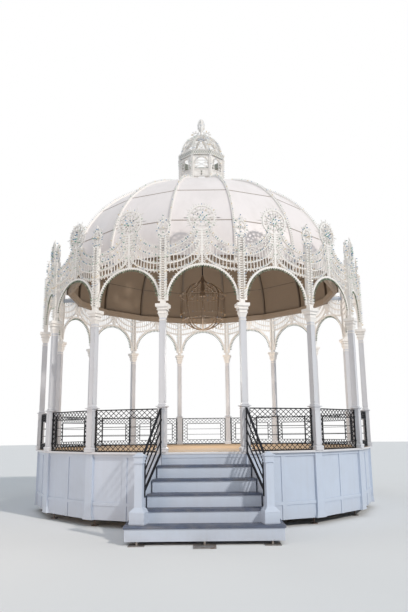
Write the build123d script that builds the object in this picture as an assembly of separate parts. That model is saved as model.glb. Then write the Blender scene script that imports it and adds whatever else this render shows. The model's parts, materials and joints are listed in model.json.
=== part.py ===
from build123d import *
import math
import os

# A festive bandstand, in millimetres, +Z up. The origin is on the ground under the centre of
# the plan, at the sole of the middle foot. The plan is a regular polygon; the stair faces -Y,
# and bays and corners are counted from there towards +X.

# Plan
side_count = 16
column_radius = 4000.0

# Stage
deck_height = 1390.0
deck_board = 40.0
deck_overhang = 92.0
fascia_height = 60.0
fascia_thickness = 22.0
frame_beam_width = 60.0
frame_beam_height = 120.0
hub_radius = 260.0
inner_ring_radius = 2200.0
foot_radius = 75.0
foot_plate = 12.0
foot_stem_radius = 18.0
foot_stem_height = 110.0
prop_width = 80.0

# Skirt
skirt_gap = 135.0
skirt_setback = 75.0
skirt_thickness = 25.0
batten_thickness = 14.0
batten_width = 96.0
ledge_height = 64.0
ledge_bottom = 397.0
pilaster_width = 180.0
pilaster_depth = 62.0
pilaster_toe_height = 120.0
pilaster_toe_spread = 34.0
pilaster_toe_reach = 12.0

# Stair
stair_rise = 220.0
stair_going = 255.0
tread_count = 4
tread_board = 38.0
tread_nosing = 20.0
riser_board = 20.0
base_width = 2600.0
base_projection = 325.0
base_clearance = 60.0
base_wall = 30.0
stair_foot_inset = 220.0
stair_pad_width = 260.0
stair_pad_depth = 220.0
stair_plate_width = 360.0
stair_plate_depth = 340.0
flare_angle = 14.3
stair_side_thickness = 24.0
stair_side_clearance = 2.0

# Newel posts
newel_width = 135.0
newel_plinth_width = 256.0
newel_plinth_height = 197.0
newel_shoulder = 68.0
newel_neck_width = 156.0
newel_neck_height = 94.0
newel_cap_width = 180.0
newel_cap_height = 30.0
newel_peak_height = 45.0
newel_peak_width = 40.0
newel_height = 1135.0
newel_distance = 1120.0

# Columns
pedestal_width = 146.0
pedestal_height = 818.0
pedestal_base_width = 196.0
pedestal_base_height = 70.0
pedestal_cap_width = 200.0
pedestal_cap_height = 55.0
pedestal_cap_steps = 3
shaft_width = 112.0
shaft_top = 2556.0
capital_flare_height = 78.0
capital_widths = (161.0, 187.0, 250.0)
capital_heights = (72.0, 64.0, 60.0)

# Railings
rail_top = 812.0
rail_depth = 24.0
rail_bar = 22.0
rail_end_gap = 14.0
rail_lug = 34.0
rail_top_band = 162.0
rail_foot_band = 126.0
rail_side_band = 148.0
inner_frame_bar = 14.0
inner_bar = 12.0
inner_bar_count = 2
mesh_bar = 10.0
mesh_depth = 10.0
mesh_width = 114.0
mesh_height = 97.0

# Stair rails
stair_rail_foot_near = -10.0
stair_rail_foot_far = -685.0
stair_rail_top_near = 795.0
stair_rail_top_far = -88.0
stair_rail_gap = 6.0
stair_rail_bar_count = 3

# Light uprights over the columns
upright_width = 125.0
upright_depth = 100.0
upright_stile = 28.0
upright_rung = 18.0
upright_rung_depth = 60.0
upright_rung_count = 28
upright_neck_width = 98.0
upright_neck_height = 80.0
upright_height = 1300.0

# Light friezes between the uprights, one to each bay
frieze_depth = 36.0
arch_band = 42.0
arch_springing = 2950.0
swag_feet = (3532.0, 3684.0, 3842.0, 4000.0)
swag_rises = (430.0, 470.0, 510.0, 560.0)
swag_stops = (20.0, 48.0, 84.0, 128.0)
swag_bar = 32.0
friezes_in_node = 2
post_bar = 40.0
post_bars_apart = 150.0
post_rung = 20.0
post_rung_count = 6
rosette_centre = 4630.0
rosette_radius = 275.0
rosette_ring = 30.0
rosette_hub_radius = 62.0
rosette_spokes = 12
rosette_spoke_width = 16.0

# Crowns on the uprights
crown_stem_width = 60.0
crown_ring_centre = 205.0
crown_ring_half_width = 125.0
crown_ring_half_height = 165.0
crown_bar = 28.0
crown_spike_height = 130.0
crown_depth = 32.0

# Dome
dome_radius = 3590.0
dome_centre = 4120.0
dome_rise = 2800.0
rib_width = 42.0
rib_depth = 120.0
panel_setback = 36.0
panel_thickness = 22.0
panel_bottom = 3975.0
seam_low = 4786.0
seam_high = 5689.0
rim_bottom = 3810.0
rim_beam_width = 90.0
rim_beam_height = 150.0
rim_beam_seat = 30.0
bracket_width = 60.0
bracket_height = 80.0
bracket_bottom = 3940.0

# Lantern
lantern_sides = 8
lantern_radius = 620.0
lantern_curb_height = 90.0
lantern_curb_width = 120.0
lantern_post = 70.0
lantern_foot = 6900.0
lantern_panel_gap = 180.0
lantern_parapet_height = 215.0
lantern_panel_thickness = 26.0
lantern_slot_width = 42.0
lantern_slot_height = 137.0
lantern_slot_foot = 36.0
lantern_arch_width = 360.0
lantern_arch_springing = 7460.0
lantern_bar = 16.0
lantern_bar_distance = 95.0
lantern_rung_count = 2
lantern_rung_pitch = 90.0
lantern_cornice_bottom = 7710.0
lantern_cornice_height = 140.0
lantern_cornice_depth = 120.0
cupola_radius = 585.0
cupola_rise = 680.0
cupola_rib_width = 45.0
cupola_rib_depth = 48.0
cupola_hub_radius = 120.0
cupola_hub_height = 60.0
volute_angles = (0.0, 90.0, 180.0, 270.0)
volute_reach = 230.0
volute_bar = 26.0
volute_height = 150.0
finial_height = 560.0
finial_stem_radius = 26.0
finial_leaf_width = 150.0
finial_leaf_height = 430.0
finial_leaf_bar = 26.0

# Hanging light
light_peak = 4480.0
light_foot = 2980.0
light_stem_radius = 20.0
light_core_radius = 80.0
light_shoulder_radius = 300.0
light_shoulder_height = 4190.0
light_ring_radius = 590.0
light_ring_height = 3900.0
light_bowl_radius = 500.0
light_bowl_height = 3260.0
light_hollow_sag = 60.0
light_shoulder_sag = 40.0
light_side_sag = 25.0
light_bowl_sag = 70.0
light_ribs = 8
light_bar = 24.0
light_rod_radius = 14.0
light_beam = 60.0

# Worked out from the sizes above
half_bay_angle = 180.0 / side_count
column_apothem = column_radius * math.cos(math.radians(half_bay_angle))
bay_width = 2.0 * column_radius * math.sin(math.radians(half_bay_angle))
deck_apothem = column_apothem + deck_overhang
deck_underside = deck_height - deck_board
skirt_face = deck_apothem - skirt_setback
bay_angles = [i * 360.0 / side_count for i in range(side_count)]
corner_angles = [(i + 0.5) * 360.0 / side_count for i in range(side_count)]
railed_angles = bay_angles[1:]
front_corner_angle = corner_angles[0]


def write(name, shapes):
    """Write one sub-part's solids to its own file."""
    solids = []
    for shape in shapes:
        solids.extend(shape.solids())
    export_step(Compound(children=solids), os.path.join("parts", name + ".step"))


def turned(shape, angle):
    """The shape turned about the vertical axis of the plan."""
    return Rot(0, 0, angle) * shape


def around(shape, angles):
    """One copy of the shape at each angle of the plan."""
    return [turned(shape, angle) for angle in angles]


def block(width, depth, height, x=0.0, y=0.0, z=0.0):
    """An upright box centred on x and y, with its foot at z."""
    return Pos(x, y, z) * Box(width, depth, height, align=(Align.CENTER, Align.CENTER, Align.MIN))


def taper(low_width, high_width, height, z):
    """A square block whose width changes from foot to top."""
    foot = Pos(0, 0, z) * Rectangle(low_width, low_width)
    top = Pos(0, 0, z + height) * Rectangle(high_width, high_width)
    return loft([foot, top])


def plan_polygon(apothem, sides=side_count):
    """The plan's polygon with a side towards -Y, at a distance from the middle to its sides."""
    circumradius = apothem / math.cos(math.pi / sides)
    return RegularPolygon(circumradius, sides, rotation=180.0 / sides - 90.0)


def plan_ring(outer, inner, height, z, sides=side_count):
    """A polygonal ring beam with flat sides."""
    ring = plan_polygon(outer, sides) - plan_polygon(inner, sides)
    return Pos(0, 0, z) * extrude(ring, height)


def upright_sheet(sketch, thickness, y):
    """A sketch of X across and Y up, stood up facing -Y with its middle plane at y."""
    plane = Plane(origin=(0, y, 0), x_dir=(1, 0, 0), z_dir=(0, -1, 0))
    return extrude(plane * sketch, thickness / 2.0, both=True)


def strip(start, end, width):
    """A straight bar in a sketch, from one point to another."""
    length = math.hypot(end[0] - start[0], end[1] - start[1])
    angle = math.degrees(math.atan2(end[1] - start[1], end[0] - start[0]))
    middle = ((start[0] + end[0]) / 2.0, (start[1] + end[1]) / 2.0)
    return Pos(middle[0], middle[1]) * Rot(0, 0, angle) * Rectangle(length, width)


def polygon(points):
    """A closed face through the points."""
    return make_face(Polyline(*points, close=True))


# Stage


def deck_floor():
    """The boarded floor of the stage."""
    return Pos(0, 0, deck_underside) * extrude(plan_polygon(deck_apothem), deck_board)


def skirt_corner():
    """Distance from the axis to a corner of the skirt's outer faces."""
    return skirt_face / math.cos(math.radians(half_bay_angle))


def frame_outer_apothem():
    """The corners of the deck frame meet the backs of the pilasters."""
    corner = skirt_corner() - pilaster_depth / 2.0
    return corner * math.cos(math.radians(half_bay_angle))


def deck_frame():
    """Beams from the hub to each corner, with two ring beams, under the floor."""
    foot = deck_underside - frame_beam_height
    outer = frame_outer_apothem()
    inner = inner_ring_radius
    frame = plan_ring(outer, outer - frame_beam_width, frame_beam_height, foot)
    frame += plan_ring(inner, inner - frame_beam_width, frame_beam_height, foot)
    frame += Pos(0, 0, foot) * extrude(plan_polygon(hub_radius), frame_beam_height)
    reach = skirt_corner() - pilaster_depth / 2.0 - frame_beam_width / 2.0
    arm = block(frame_beam_width, reach, frame_beam_height, y=-reach / 2.0, z=foot)
    for angle in corner_angles:
        frame += turned(arm, angle)
    return frame


def prop_places():
    """Plan positions of the props: the middle, every other corner inside, and every corner outside."""
    outer = frame_outer_apothem() - prop_width
    inner = inner_ring_radius - frame_beam_width / 2.0
    places = [Pos(0, 0, 0)]
    places += [Rot(0, 0, angle) * Pos(0, -inner, 0) for angle in corner_angles[::2]]
    places += [Rot(0, 0, angle) * Pos(0, -outer, 0) for angle in corner_angles]
    return places


def prop():
    """A square prop from its foot to the deck frame."""
    foot = foot_plate + foot_stem_height
    return block(prop_width, prop_width, deck_underside - frame_beam_height - foot, z=foot)


def screw_foot(stem_height):
    """A round plate on the ground with a threaded stem."""
    plate = Cylinder(foot_radius, foot_plate, align=(Align.CENTER, Align.CENTER, Align.MIN))
    stem = Cylinder(foot_stem_radius, stem_height, align=(Align.CENTER, Align.CENTER, Align.MIN))
    return plate + Pos(0, 0, foot_plate) * stem


def stair_feet():
    """Padded feet under the stair's base; the middle one's plate reaches out in front."""
    front = tread_front(0) + tread_nosing + base_wall / 2.0
    back = -deck_apothem - base_wall / 2.0
    side = base_width / 2.0 - stair_foot_inset
    foot = screw_foot(base_clearance - foot_plate)
    padded = foot + block(stair_pad_width, stair_pad_depth, foot_plate)
    feet = [Pos(x, y, 0) * padded for x in (-side, side) for y in (front, back)]
    plate = block(stair_plate_width, stair_plate_depth, foot_plate, y=base_wall - stair_plate_depth / 2.0)
    feet.append(Pos(0, front, 0) * (foot + plate))
    return feet


# Skirt


def pilaster():
    """The slim post that covers a corner of the skirt, with a toe that spreads at the bottom."""
    middle = skirt_corner()
    height = deck_underside - skirt_gap
    post = block(pilaster_width, pilaster_depth, height, y=-middle, z=skirt_gap)
    low = Rectangle(pilaster_width + 2.0 * pilaster_toe_spread, pilaster_depth + pilaster_toe_reach)
    high = Rectangle(pilaster_width, pilaster_depth)
    low_place = Pos(0, -middle - pilaster_toe_reach / 2.0, skirt_gap)
    toe = loft([low_place * low, Pos(0, -middle, skirt_gap + pilaster_toe_height) * high])
    return post + toe


def beside_pilasters(shape):
    """What is left of a front bay's piece between the pilasters at its two ends."""
    corner_post = pilaster()
    for side in (-1.0, 1.0):
        shape -= turned(corner_post, side * front_corner_angle)
    return shape


def skirt_length():
    """A skirt board stops behind the pilasters, short of its neighbour."""
    corner = skirt_face * math.tan(math.radians(half_bay_angle))
    return 2.0 * (corner - pilaster_width / 4.0)


def skirt_panel():
    """A bay of the skirt: a board with one upright batten and one level ledge."""
    length = skirt_length()
    height = deck_underside - skirt_gap
    board = block(length, skirt_thickness, height, y=-skirt_face + skirt_thickness / 2.0, z=skirt_gap)
    face = -skirt_face - batten_thickness / 2.0
    batten = block(batten_width, batten_thickness, height - fascia_height, y=face, z=skirt_gap)
    ledge = block(length, batten_thickness, ledge_height, y=face, z=ledge_bottom)
    return beside_pilasters(board + batten + ledge)


def skirt_fascia():
    """The board under the edge of the floor."""
    y = -skirt_face - fascia_thickness / 2.0
    board = block(skirt_length(), fascia_thickness, fascia_height, y=y, z=deck_underside - fascia_height)
    return beside_pilasters(board)


# Stair. Its rails and sides spread away from the front pedestals towards the newels.


def flare_start():
    """The middle of a front pedestal's outer face, on the +X side."""
    reach = column_radius + pedestal_width / 2.0
    angle = math.radians(half_bay_angle)
    return (reach * math.sin(angle), -reach * math.cos(angle))


def flare_x(y, inset):
    """X of the line parallel to the flare, inset towards the middle of the stair, at this y."""
    start_x, start_y = flare_start()
    slope = math.tan(math.radians(flare_angle))
    return start_x + (start_y - y) * slope - inset / math.cos(math.radians(flare_angle))


def along_flare(shape):
    """Take a piece made along -Y from the origin to the +X flare line."""
    start_x, start_y = flare_start()
    return Pos(start_x, start_y, 0) * Rot(0, 0, flare_angle) * shape


def mirrored_pair(shape):
    """The piece on the +X side and its mirror image."""
    return [shape, mirror(shape, Plane.YZ)]


def tread_top(step):
    """Height of a step's top: step 0 is the base, and the last is below the deck."""
    return deck_height - (tread_count + 1 - step) * stair_rise


def tread_front(step):
    """Y of a step's nosing."""
    if step == 0:
        return -deck_apothem - tread_count * stair_going - base_projection
    return -deck_apothem - (tread_count + 1 - step) * stair_going


def rail_ends():
    """Distances along the flare from the pedestal to the two end bars of a stair rail."""
    start_y = flare_start()[1]
    cosine = math.cos(math.radians(flare_angle))
    near = (deck_apothem + start_y) / cosine + stair_rail_gap + rail_bar / 2.0
    far = newel_distance - newel_cap_width / 2.0 - stair_rail_gap - rail_bar / 2.0
    return near, far


def rail_height(distance, share):
    """Height of the line that lies this share of the way from a stair rail's foot to its top."""
    near, far = rail_ends()
    along = (distance - near) / (far - near)
    foot = stair_rail_foot_near + along * (stair_rail_foot_far - stair_rail_foot_near)
    top = stair_rail_top_near + along * (stair_rail_top_far - stair_rail_top_near)
    return deck_height + foot + share * (top - foot)


def newel():
    """A square post with a stepped cap and a low pyramid on it, standing on the stair's base."""
    foot = tread_top(0)
    shoulder = foot + newel_plinth_height
    neck = shoulder + newel_shoulder
    cap = foot + newel_height - newel_cap_height - newel_peak_height
    post = block(newel_plinth_width, newel_plinth_width, newel_plinth_height, z=foot)
    post += taper(newel_plinth_width, newel_width, newel_shoulder, shoulder)
    post += block(newel_width, newel_width, cap - neck, z=neck)
    post += block(newel_neck_width, newel_neck_width, newel_neck_height, z=cap - newel_neck_height)
    post += block(newel_cap_width, newel_cap_width, newel_cap_height, z=cap)
    post += taper(newel_neck_width, newel_peak_width, newel_peak_height, cap + newel_cap_height)
    return along_flare(Pos(0, -newel_distance, 0) * post)


def stair_board(y_front, y_back, z, thickness):
    """A board across the stair, whose ends follow the rails, less the newels beside it."""
    inset = rail_depth / 2.0 + stair_rail_gap
    front = flare_x(y_front, inset)
    back = flare_x(y_back, inset)
    outline = polygon([(-front, y_front), (front, y_front), (back, y_back), (-back, y_back)])
    board = Pos(0, 0, z) * extrude(outline, thickness)
    for post in mirrored_pair(newel()):
        board -= post
    return beside_pilasters(board)


def stair_treads():
    """The base's top board and the four treads above it."""
    y_front = tread_front(0)
    depth = -deck_apothem - y_front
    base_top = block(base_width, depth, tread_board, y=y_front + depth / 2.0, z=tread_top(0) - tread_board)
    boards = [base_top]
    for step in range(1, tread_count + 1):
        y_back = tread_front(step + 1) + tread_nosing + riser_board
        z = tread_top(step) - tread_board
        boards.append(stair_board(tread_front(step), y_back, z, tread_board))
    return boards


def stair_risers():
    """The boards between the treads, the highest one with a strip under the floor's edge."""
    boards = []
    for step in range(1, tread_count + 2):
        y_face = tread_front(step) + tread_nosing
        low = tread_top(step - 1)
        high = tread_top(step) - (tread_board if step <= tread_count else deck_board)
        boards.append(stair_board(y_face, y_face + riser_board, low, high - low))
    face = -deck_apothem + tread_nosing / 2.0
    foot = deck_underside - fascia_height
    boards[-1] += stair_board(face, face + tread_nosing / 2.0, foot, fascia_height)
    return boards


def stair_base():
    """The open box of boards that carries the lowest step."""
    y_front = tread_front(0) + tread_nosing
    depth = -deck_apothem - y_front
    width = base_width - 2.0 * tread_nosing
    height = tread_top(0) - tread_board - base_clearance
    y = y_front + depth / 2.0
    box = block(width, depth, height, y=y, z=base_clearance)
    box -= block(width - 2.0 * base_wall, depth - 2.0 * base_wall, height, y=y, z=base_clearance)
    return box + block(base_wall, depth - base_wall, height, y=y, z=base_clearance)


def stair_side():
    """The board that closes one side of the stair, outside its rail and no higher than its foot."""
    offset = rail_depth / 2.0 + stair_side_clearance
    near = rail_ends()[0]
    plinth = newel_distance - newel_plinth_width / 2.0
    face = newel_distance - newel_width / 2.0
    foot = tread_top(0)
    shoulder = foot + newel_plinth_height
    neck = shoulder + newel_shoulder
    top_near = rail_height(near, 0.0) - rail_bar / 2.0
    top_far = rail_height(face, 0.0) - rail_bar / 2.0
    outline = polygon(
        [(near, foot), (plinth, foot), (plinth, shoulder), (face, neck), (face, top_far), (near, top_near)]
    )
    plane = Plane(origin=(offset, 0, 0), x_dir=(0, -1, 0), z_dir=(-1, 0, 0))
    sheet = extrude(plane * outline, -stair_side_thickness)
    return along_flare(sheet)


# Columns


def pedestal():
    """A square pedestal with a base and a moulded cap."""
    foot = deck_height
    top = foot + pedestal_height
    cap_step = pedestal_cap_height / pedestal_cap_steps
    middle_width = (pedestal_width + pedestal_cap_width) / 2.0
    body = block(pedestal_width, pedestal_width, pedestal_height, z=foot)
    body += block(pedestal_base_width, pedestal_base_width, pedestal_base_height, z=foot)
    body += taper(pedestal_width, middle_width, cap_step, top)
    body += block(pedestal_cap_width, pedestal_cap_width, cap_step, z=top + cap_step)
    body += taper(middle_width, shaft_width, cap_step, top + 2.0 * cap_step)
    return Pos(0, -column_radius, 0) * body


def shaft_foot():
    """Height where the shaft stands on its pedestal."""
    return deck_height + pedestal_height + pedestal_cap_height


def shaft():
    """The square shaft between pedestal and capital."""
    height = deck_height + shaft_top - shaft_foot()
    return block(shaft_width, shaft_width, height, y=-column_radius, z=shaft_foot())


def capital():
    """A square capital that spreads from the shaft and steps out to a flat top."""
    z = deck_height + shaft_top
    body = taper(shaft_width, capital_widths[0], capital_flare_height, z)
    z += capital_flare_height
    for width, height in zip(capital_widths, capital_heights):
        body += block(width, width, height, z=z)
        z += height
    return Pos(0, -column_radius, 0) * body


def upright_foot():
    """Height of a capital's top, where the light upright stands."""
    return deck_height + shaft_top + capital_flare_height + sum(capital_heights)


def upright():
    """A ladder of two stiles and many rungs, on a short neck."""
    foot = upright_foot()
    low = foot + upright_neck_height
    stile_x = (upright_width - upright_stile) / 2.0
    body = block(upright_neck_width, upright_neck_width, upright_neck_height, z=foot)
    for side in (-1.0, 1.0):
        body += block(upright_stile, upright_depth, upright_height, x=side * stile_x, z=low)
    pitch = (upright_height - upright_rung) / (upright_rung_count - 1)
    for i in range(upright_rung_count):
        body += block(upright_width, upright_rung_depth, upright_rung, z=low + i * pitch)
    return Pos(0, -column_radius, 0) * body


def crown():
    """A flat openwork ornament on an upright: a stem, an upright oval and a pointed top."""
    foot = upright_foot() + upright_neck_height + upright_height
    oval = Ellipse(crown_ring_half_width, crown_ring_half_height)
    oval -= Ellipse(crown_ring_half_width - crown_bar, crown_ring_half_height - crown_bar)
    sketch = Pos(0, crown_ring_centre) * oval
    sketch += strip((0, 0), (0, crown_ring_centre + crown_ring_half_height), crown_bar)
    sketch += strip((-crown_stem_width, crown_bar / 2.0), (crown_stem_width, crown_bar / 2.0), crown_bar)
    tip = crown_ring_centre + crown_ring_half_height - crown_bar / 2.0
    sketch += polygon([(-crown_bar, tip), (crown_bar, tip), (0, tip + crown_spike_height)])
    arm = crown_ring_half_width - crown_bar / 2.0
    sketch += strip((-arm, crown_ring_centre), (arm, crown_ring_centre), crown_bar)
    return Pos(0, 0, foot) * upright_sheet(sketch, crown_depth, -column_radius)


# Railings


def mesh(half, low, high):
    """Crossed bars over an upright rectangle of a sketch whose middle line is at x 0."""
    run = (high - low) * mesh_width / mesh_height
    count = math.ceil((half + run) / mesh_width)
    bars = []
    for i in range(-count, count + 1):
        bar = strip((i * mesh_width, low), (i * mesh_width + run, high), mesh_bar)
        bars += [bar, mirror(bar, Plane.YZ)]
    return (Sketch() + bars) & upright_rectangle(half, low, high)


def frame_bars(outline, width):
    """Straight bars along a closed outline, with square blocks at its corners."""
    bars = []
    for i, start in enumerate(outline):
        end = outline[(i + 1) % len(outline)]
        bars.append(strip(start, end, width))
        bars.append(Pos(start[0], start[1]) * Rectangle(width, width))
    return bars


def rectangle_corners(half, low, high):
    """Corners of an upright rectangle whose middle line is at x 0."""
    return [(-half, low), (half, low), (half, high), (-half, high)]


def upright_rectangle(half, low, high):
    """The face inside those corners."""
    return Pos(0, (low + high) / 2.0) * Rectangle(2.0 * half, high - low)


def railing():
    """A bay's iron railing: two frames, a mesh of crossed bars between them and level bars inside."""
    half = bay_width / 2.0 - pedestal_width / 2.0 / math.cos(math.radians(half_bay_angle)) - rail_end_gap
    half -= rail_bar / 2.0
    low = deck_height + rail_bar / 2.0
    high = deck_height + rail_top - rail_bar / 2.0
    inner_half = half - rail_side_band
    inner_low = low + rail_foot_band
    inner_high = high - rail_top_band
    heavy = frame_bars(rectangle_corners(half, low, high), rail_bar)
    heavy += frame_bars(rectangle_corners(inner_half, inner_low, inner_high), inner_frame_bar)
    spacing = (inner_high - inner_low) / (inner_bar_count + 1)
    for i in range(inner_bar_count):
        y = inner_low + (i + 1) * spacing
        heavy.append(strip((-inner_half, y), (inner_half, y), inner_bar))
    fine = mesh(half, low, high) - upright_rectangle(inner_half, inner_low, inner_high)
    y = -column_apothem
    panel = upright_sheet(Sketch() + heavy, rail_depth, y) + upright_sheet(fine, mesh_depth, y)
    lug_length = 2.0 * rail_end_gap + rail_bar
    for z in (inner_low, inner_high):
        for side in (-1.0, 1.0):
            panel += block(lug_length, rail_depth, rail_lug, x=side * (half + rail_end_gap), y=y, z=z)
    post = pedestal()
    for side in (-1.0, 1.0):
        panel -= turned(post, side * front_corner_angle)
    return panel


def railed_sides():
    """The railed bays by side: right and left of the stair, and the one opposite it."""
    right = [angle for angle in railed_angles if angle < 180.0]
    left = [angle for angle in railed_angles if angle > 180.0]
    back = [angle for angle in railed_angles if angle == 180.0]
    return {"right": right, "left": left, "back": back}


def stair_rail():
    """The iron railing of one side of the stair: a sloping frame and bars that share its height."""
    near, far = rail_ends()
    outline = [
        (near, rail_height(near, 0.0)),
        (far, rail_height(far, 0.0)),
        (far, rail_height(far, 1.0)),
        (near, rail_height(near, 1.0)),
    ]
    bars = frame_bars(outline, rail_bar)
    shares = [(i + 1) / (stair_rail_bar_count + 1) for i in range(stair_rail_bar_count)]
    for share in shares:
        bars.append(strip((near, rail_height(near, share)), (far, rail_height(far, share)), inner_frame_bar))
    panel = extrude(radial_plane() * (Sketch() + bars), rail_depth / 2.0, both=True)
    newel_face = newel_distance - newel_width / 2.0
    for share in (shares[0], shares[-1]):
        low_end = (far + newel_face) / 2.0
        panel += block(rail_depth, near, rail_lug, y=-near / 2.0, z=rail_height(near, share) - rail_lug / 2.0)
        panel += block(
            rail_depth, newel_face - far, rail_lug, y=-low_end, z=rail_height(far, share) - rail_lug / 2.0
        )
    return along_flare(panel) - turned(pedestal(), front_corner_angle)


# Light friezes


def swag_band(foot, rise, stop, half):
    """A quarter of an ellipse that leaves the +X upright level and rises to the middle post."""
    across = half - stop
    outer = Ellipse(across + swag_bar / 2.0, rise + swag_bar / 2.0)
    inner = Ellipse(across - swag_bar / 2.0, rise - swag_bar / 2.0)
    window = Pos(-across / 2.0 - swag_bar / 2.0, -rise / 2.0 - swag_bar / 2.0)
    quarter = (outer - inner) & window * Rectangle(across + swag_bar, rise + swag_bar)
    return Pos(half, foot + rise) * quarter


def frieze():
    """A bay's light frieze: an arch, four swags a side, an openwork post and a rosette."""
    half = bay_width / 2.0
    clear = half - upright_width / 2.0
    springing = deck_height + arch_springing
    arch_radius = clear - arch_band
    sketch = Pos(0, springing) * (Circle(arch_radius + arch_band) - Circle(arch_radius))
    keep = Pos(0, springing + half) * Rectangle(2.0 * half, 2.0 * half)
    sketch &= keep
    leg_foot = upright_foot() + upright_neck_height
    for side in (-1.0, 1.0):
        x = side * (arch_radius + arch_band / 2.0)
        sketch += strip((x, leg_foot), (x, springing), arch_band)
    post_foot = springing + arch_radius + arch_band / 2.0
    post_top = deck_height + rosette_centre - rosette_radius + rosette_ring / 2.0
    swags = []
    for foot, rise, stop in zip(swag_feet, swag_rises, swag_stops):
        band = swag_band(deck_height + foot, rise, stop, half)
        swags += [band, mirror(band, Plane.YZ)]
    sketch += swags
    sketch += strip((0, post_foot), (0, post_top), post_bar)
    rung_pitch = (post_top - deck_height - swag_feet[-1]) / (post_rung_count + 1)
    for i in range(post_rung_count):
        z = deck_height + swag_feet[-1] + (i + 1) * rung_pitch
        sketch += strip((-post_bars_apart, z), (post_bars_apart, z), post_rung)
    rosette = Circle(rosette_radius) - Circle(rosette_radius - rosette_ring)
    rosette += Circle(rosette_hub_radius)
    spoke_pair = Rectangle(2.0 * rosette_radius - rosette_ring, rosette_spoke_width)
    for i in range(rosette_spokes // 2):
        rosette += Rot(0, 0, i * 360.0 / rosette_spokes) * spoke_pair
    sketch += Pos(0, deck_height + rosette_centre) * rosette
    sheet = upright_sheet(sketch, frieze_depth, -column_apothem)
    post = upright()
    core = block(upright_width, upright_depth, upright_height, y=-column_radius, z=leg_foot)
    for side in (-1.0, 1.0):
        sheet -= turned(core, side * front_corner_angle)
        sheet -= turned(post, side * front_corner_angle)
    return sheet


# Dome


def dome_band(setback, thickness, low, high, scale=1.0):
    """Section of a dome layer, X outward and Y up: upright below the centre, an ellipse above it."""
    across = dome_radius - setback
    rise = dome_rise - setback
    outer = scale * across
    inner = scale * (across - thickness)
    centre = deck_height + dome_centre
    cap = Ellipse(outer, rise) - Ellipse(inner, rise - thickness)
    upper_half = Pos(outer / 2.0, rise / 2.0) * Rectangle(outer, rise)
    wall = Pos((outer + inner) / 2.0, -rise / 2.0) * Rectangle(outer - inner, rise)
    section = Pos(0, centre) * ((cap & upper_half) + wall)
    middle = deck_height + (low + high) / 2.0
    return section & Pos(outer / 2.0, middle) * Rectangle(outer, high - low)


def radial_plane():
    """The upright plane through the axis of the plan, whose X points to -Y."""
    return Plane(origin=(0, 0, 0), x_dir=(0, -1, 0), z_dir=(-1, 0, 0))


def curb_apothem():
    """Distance from the axis to the curb's outer faces, which have as many sides as the dome."""
    return lantern_radius + lantern_post


def lantern_well():
    """The prism inside the outer faces of the lantern's curb."""
    return Pos(0, 0, deck_height + dome_centre) * extrude(plan_polygon(curb_apothem()), 2.0 * dome_rise)


def dome_rib():
    """A curved board that stands proud of the dome's panels."""
    sketch = dome_band(0.0, rib_depth, rim_bottom, dome_centre + dome_rise)
    rib = extrude(radial_plane() * sketch, rib_width / 2.0, both=True)
    return rib - turned(lantern_well(), half_bay_angle)


def gore(low, high):
    """One of the flat-backed panels between two ribs, from one seam to the next."""
    apothem_scale = math.cos(math.radians(half_bay_angle))
    sketch = dome_band(panel_setback, panel_thickness, low, high, apothem_scale)
    sheet = extrude(radial_plane() * sketch, bay_width / 2.0, both=True)
    slope = math.tan(math.radians(half_bay_angle))
    inset = rib_width / 2.0 / math.cos(math.radians(half_bay_angle))
    far = dome_radius
    near = inset / slope
    half = far * slope - inset
    wedge = extrude(polygon([(0, -near), (half, -far), (-half, -far)]), 4.0 * dome_rise)
    return (sheet & wedge) - lantern_well()


def rim_beam():
    """The ring beam inside the feet of the ribs, notched for them."""
    corner = dome_radius - rib_depth + rim_beam_seat
    outer = corner * math.cos(math.radians(half_bay_angle))
    ring = plan_ring(outer, outer - rim_beam_width, rim_beam_height, deck_height + rim_bottom)
    rib_foot = block(
        rib_width,
        rib_depth,
        2.0 * rim_beam_height,
        y=-dome_radius + rib_depth / 2.0,
        z=deck_height + rim_bottom - rim_beam_height / 2.0,
    )
    for angle in corner_angles:
        ring -= turned(rib_foot, angle)
    return ring


def dome_bracket():
    """The short arm from a light upright to the foot of a rib."""
    outer = column_radius - upright_rung_depth / 2.0
    length = outer - dome_radius
    y = -dome_radius - length / 2.0
    return block(bracket_width, length, bracket_height, y=y, z=deck_height + bracket_bottom)


# Lantern


def lantern_height(z):
    """A height above the deck as a height above the ground."""
    return deck_height + z


def lantern_apothem():
    """Distance from the axis to the middle planes of the lantern's faces."""
    return lantern_radius * math.cos(math.pi / lantern_sides)


lantern_faces = [i * 360.0 / lantern_sides for i in range(lantern_sides)]
lantern_corners = [(i + 0.5) * 360.0 / lantern_sides for i in range(lantern_sides)]


def lantern_curb():
    """The curb that closes the top of the dome, with an octagonal hole."""
    hole = plan_polygon(lantern_apothem() - lantern_curb_width / 2.0, lantern_sides)
    z = lantern_height(lantern_foot) - lantern_curb_height
    return Pos(0, 0, z) * extrude(plan_polygon(curb_apothem()) - hole, lantern_curb_height)


def lantern_post_piece():
    """A square post at a corner of the octagon."""
    height = lantern_cornice_bottom - lantern_foot
    return block(lantern_post, lantern_post, height, y=-lantern_radius, z=lantern_height(lantern_foot))


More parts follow.
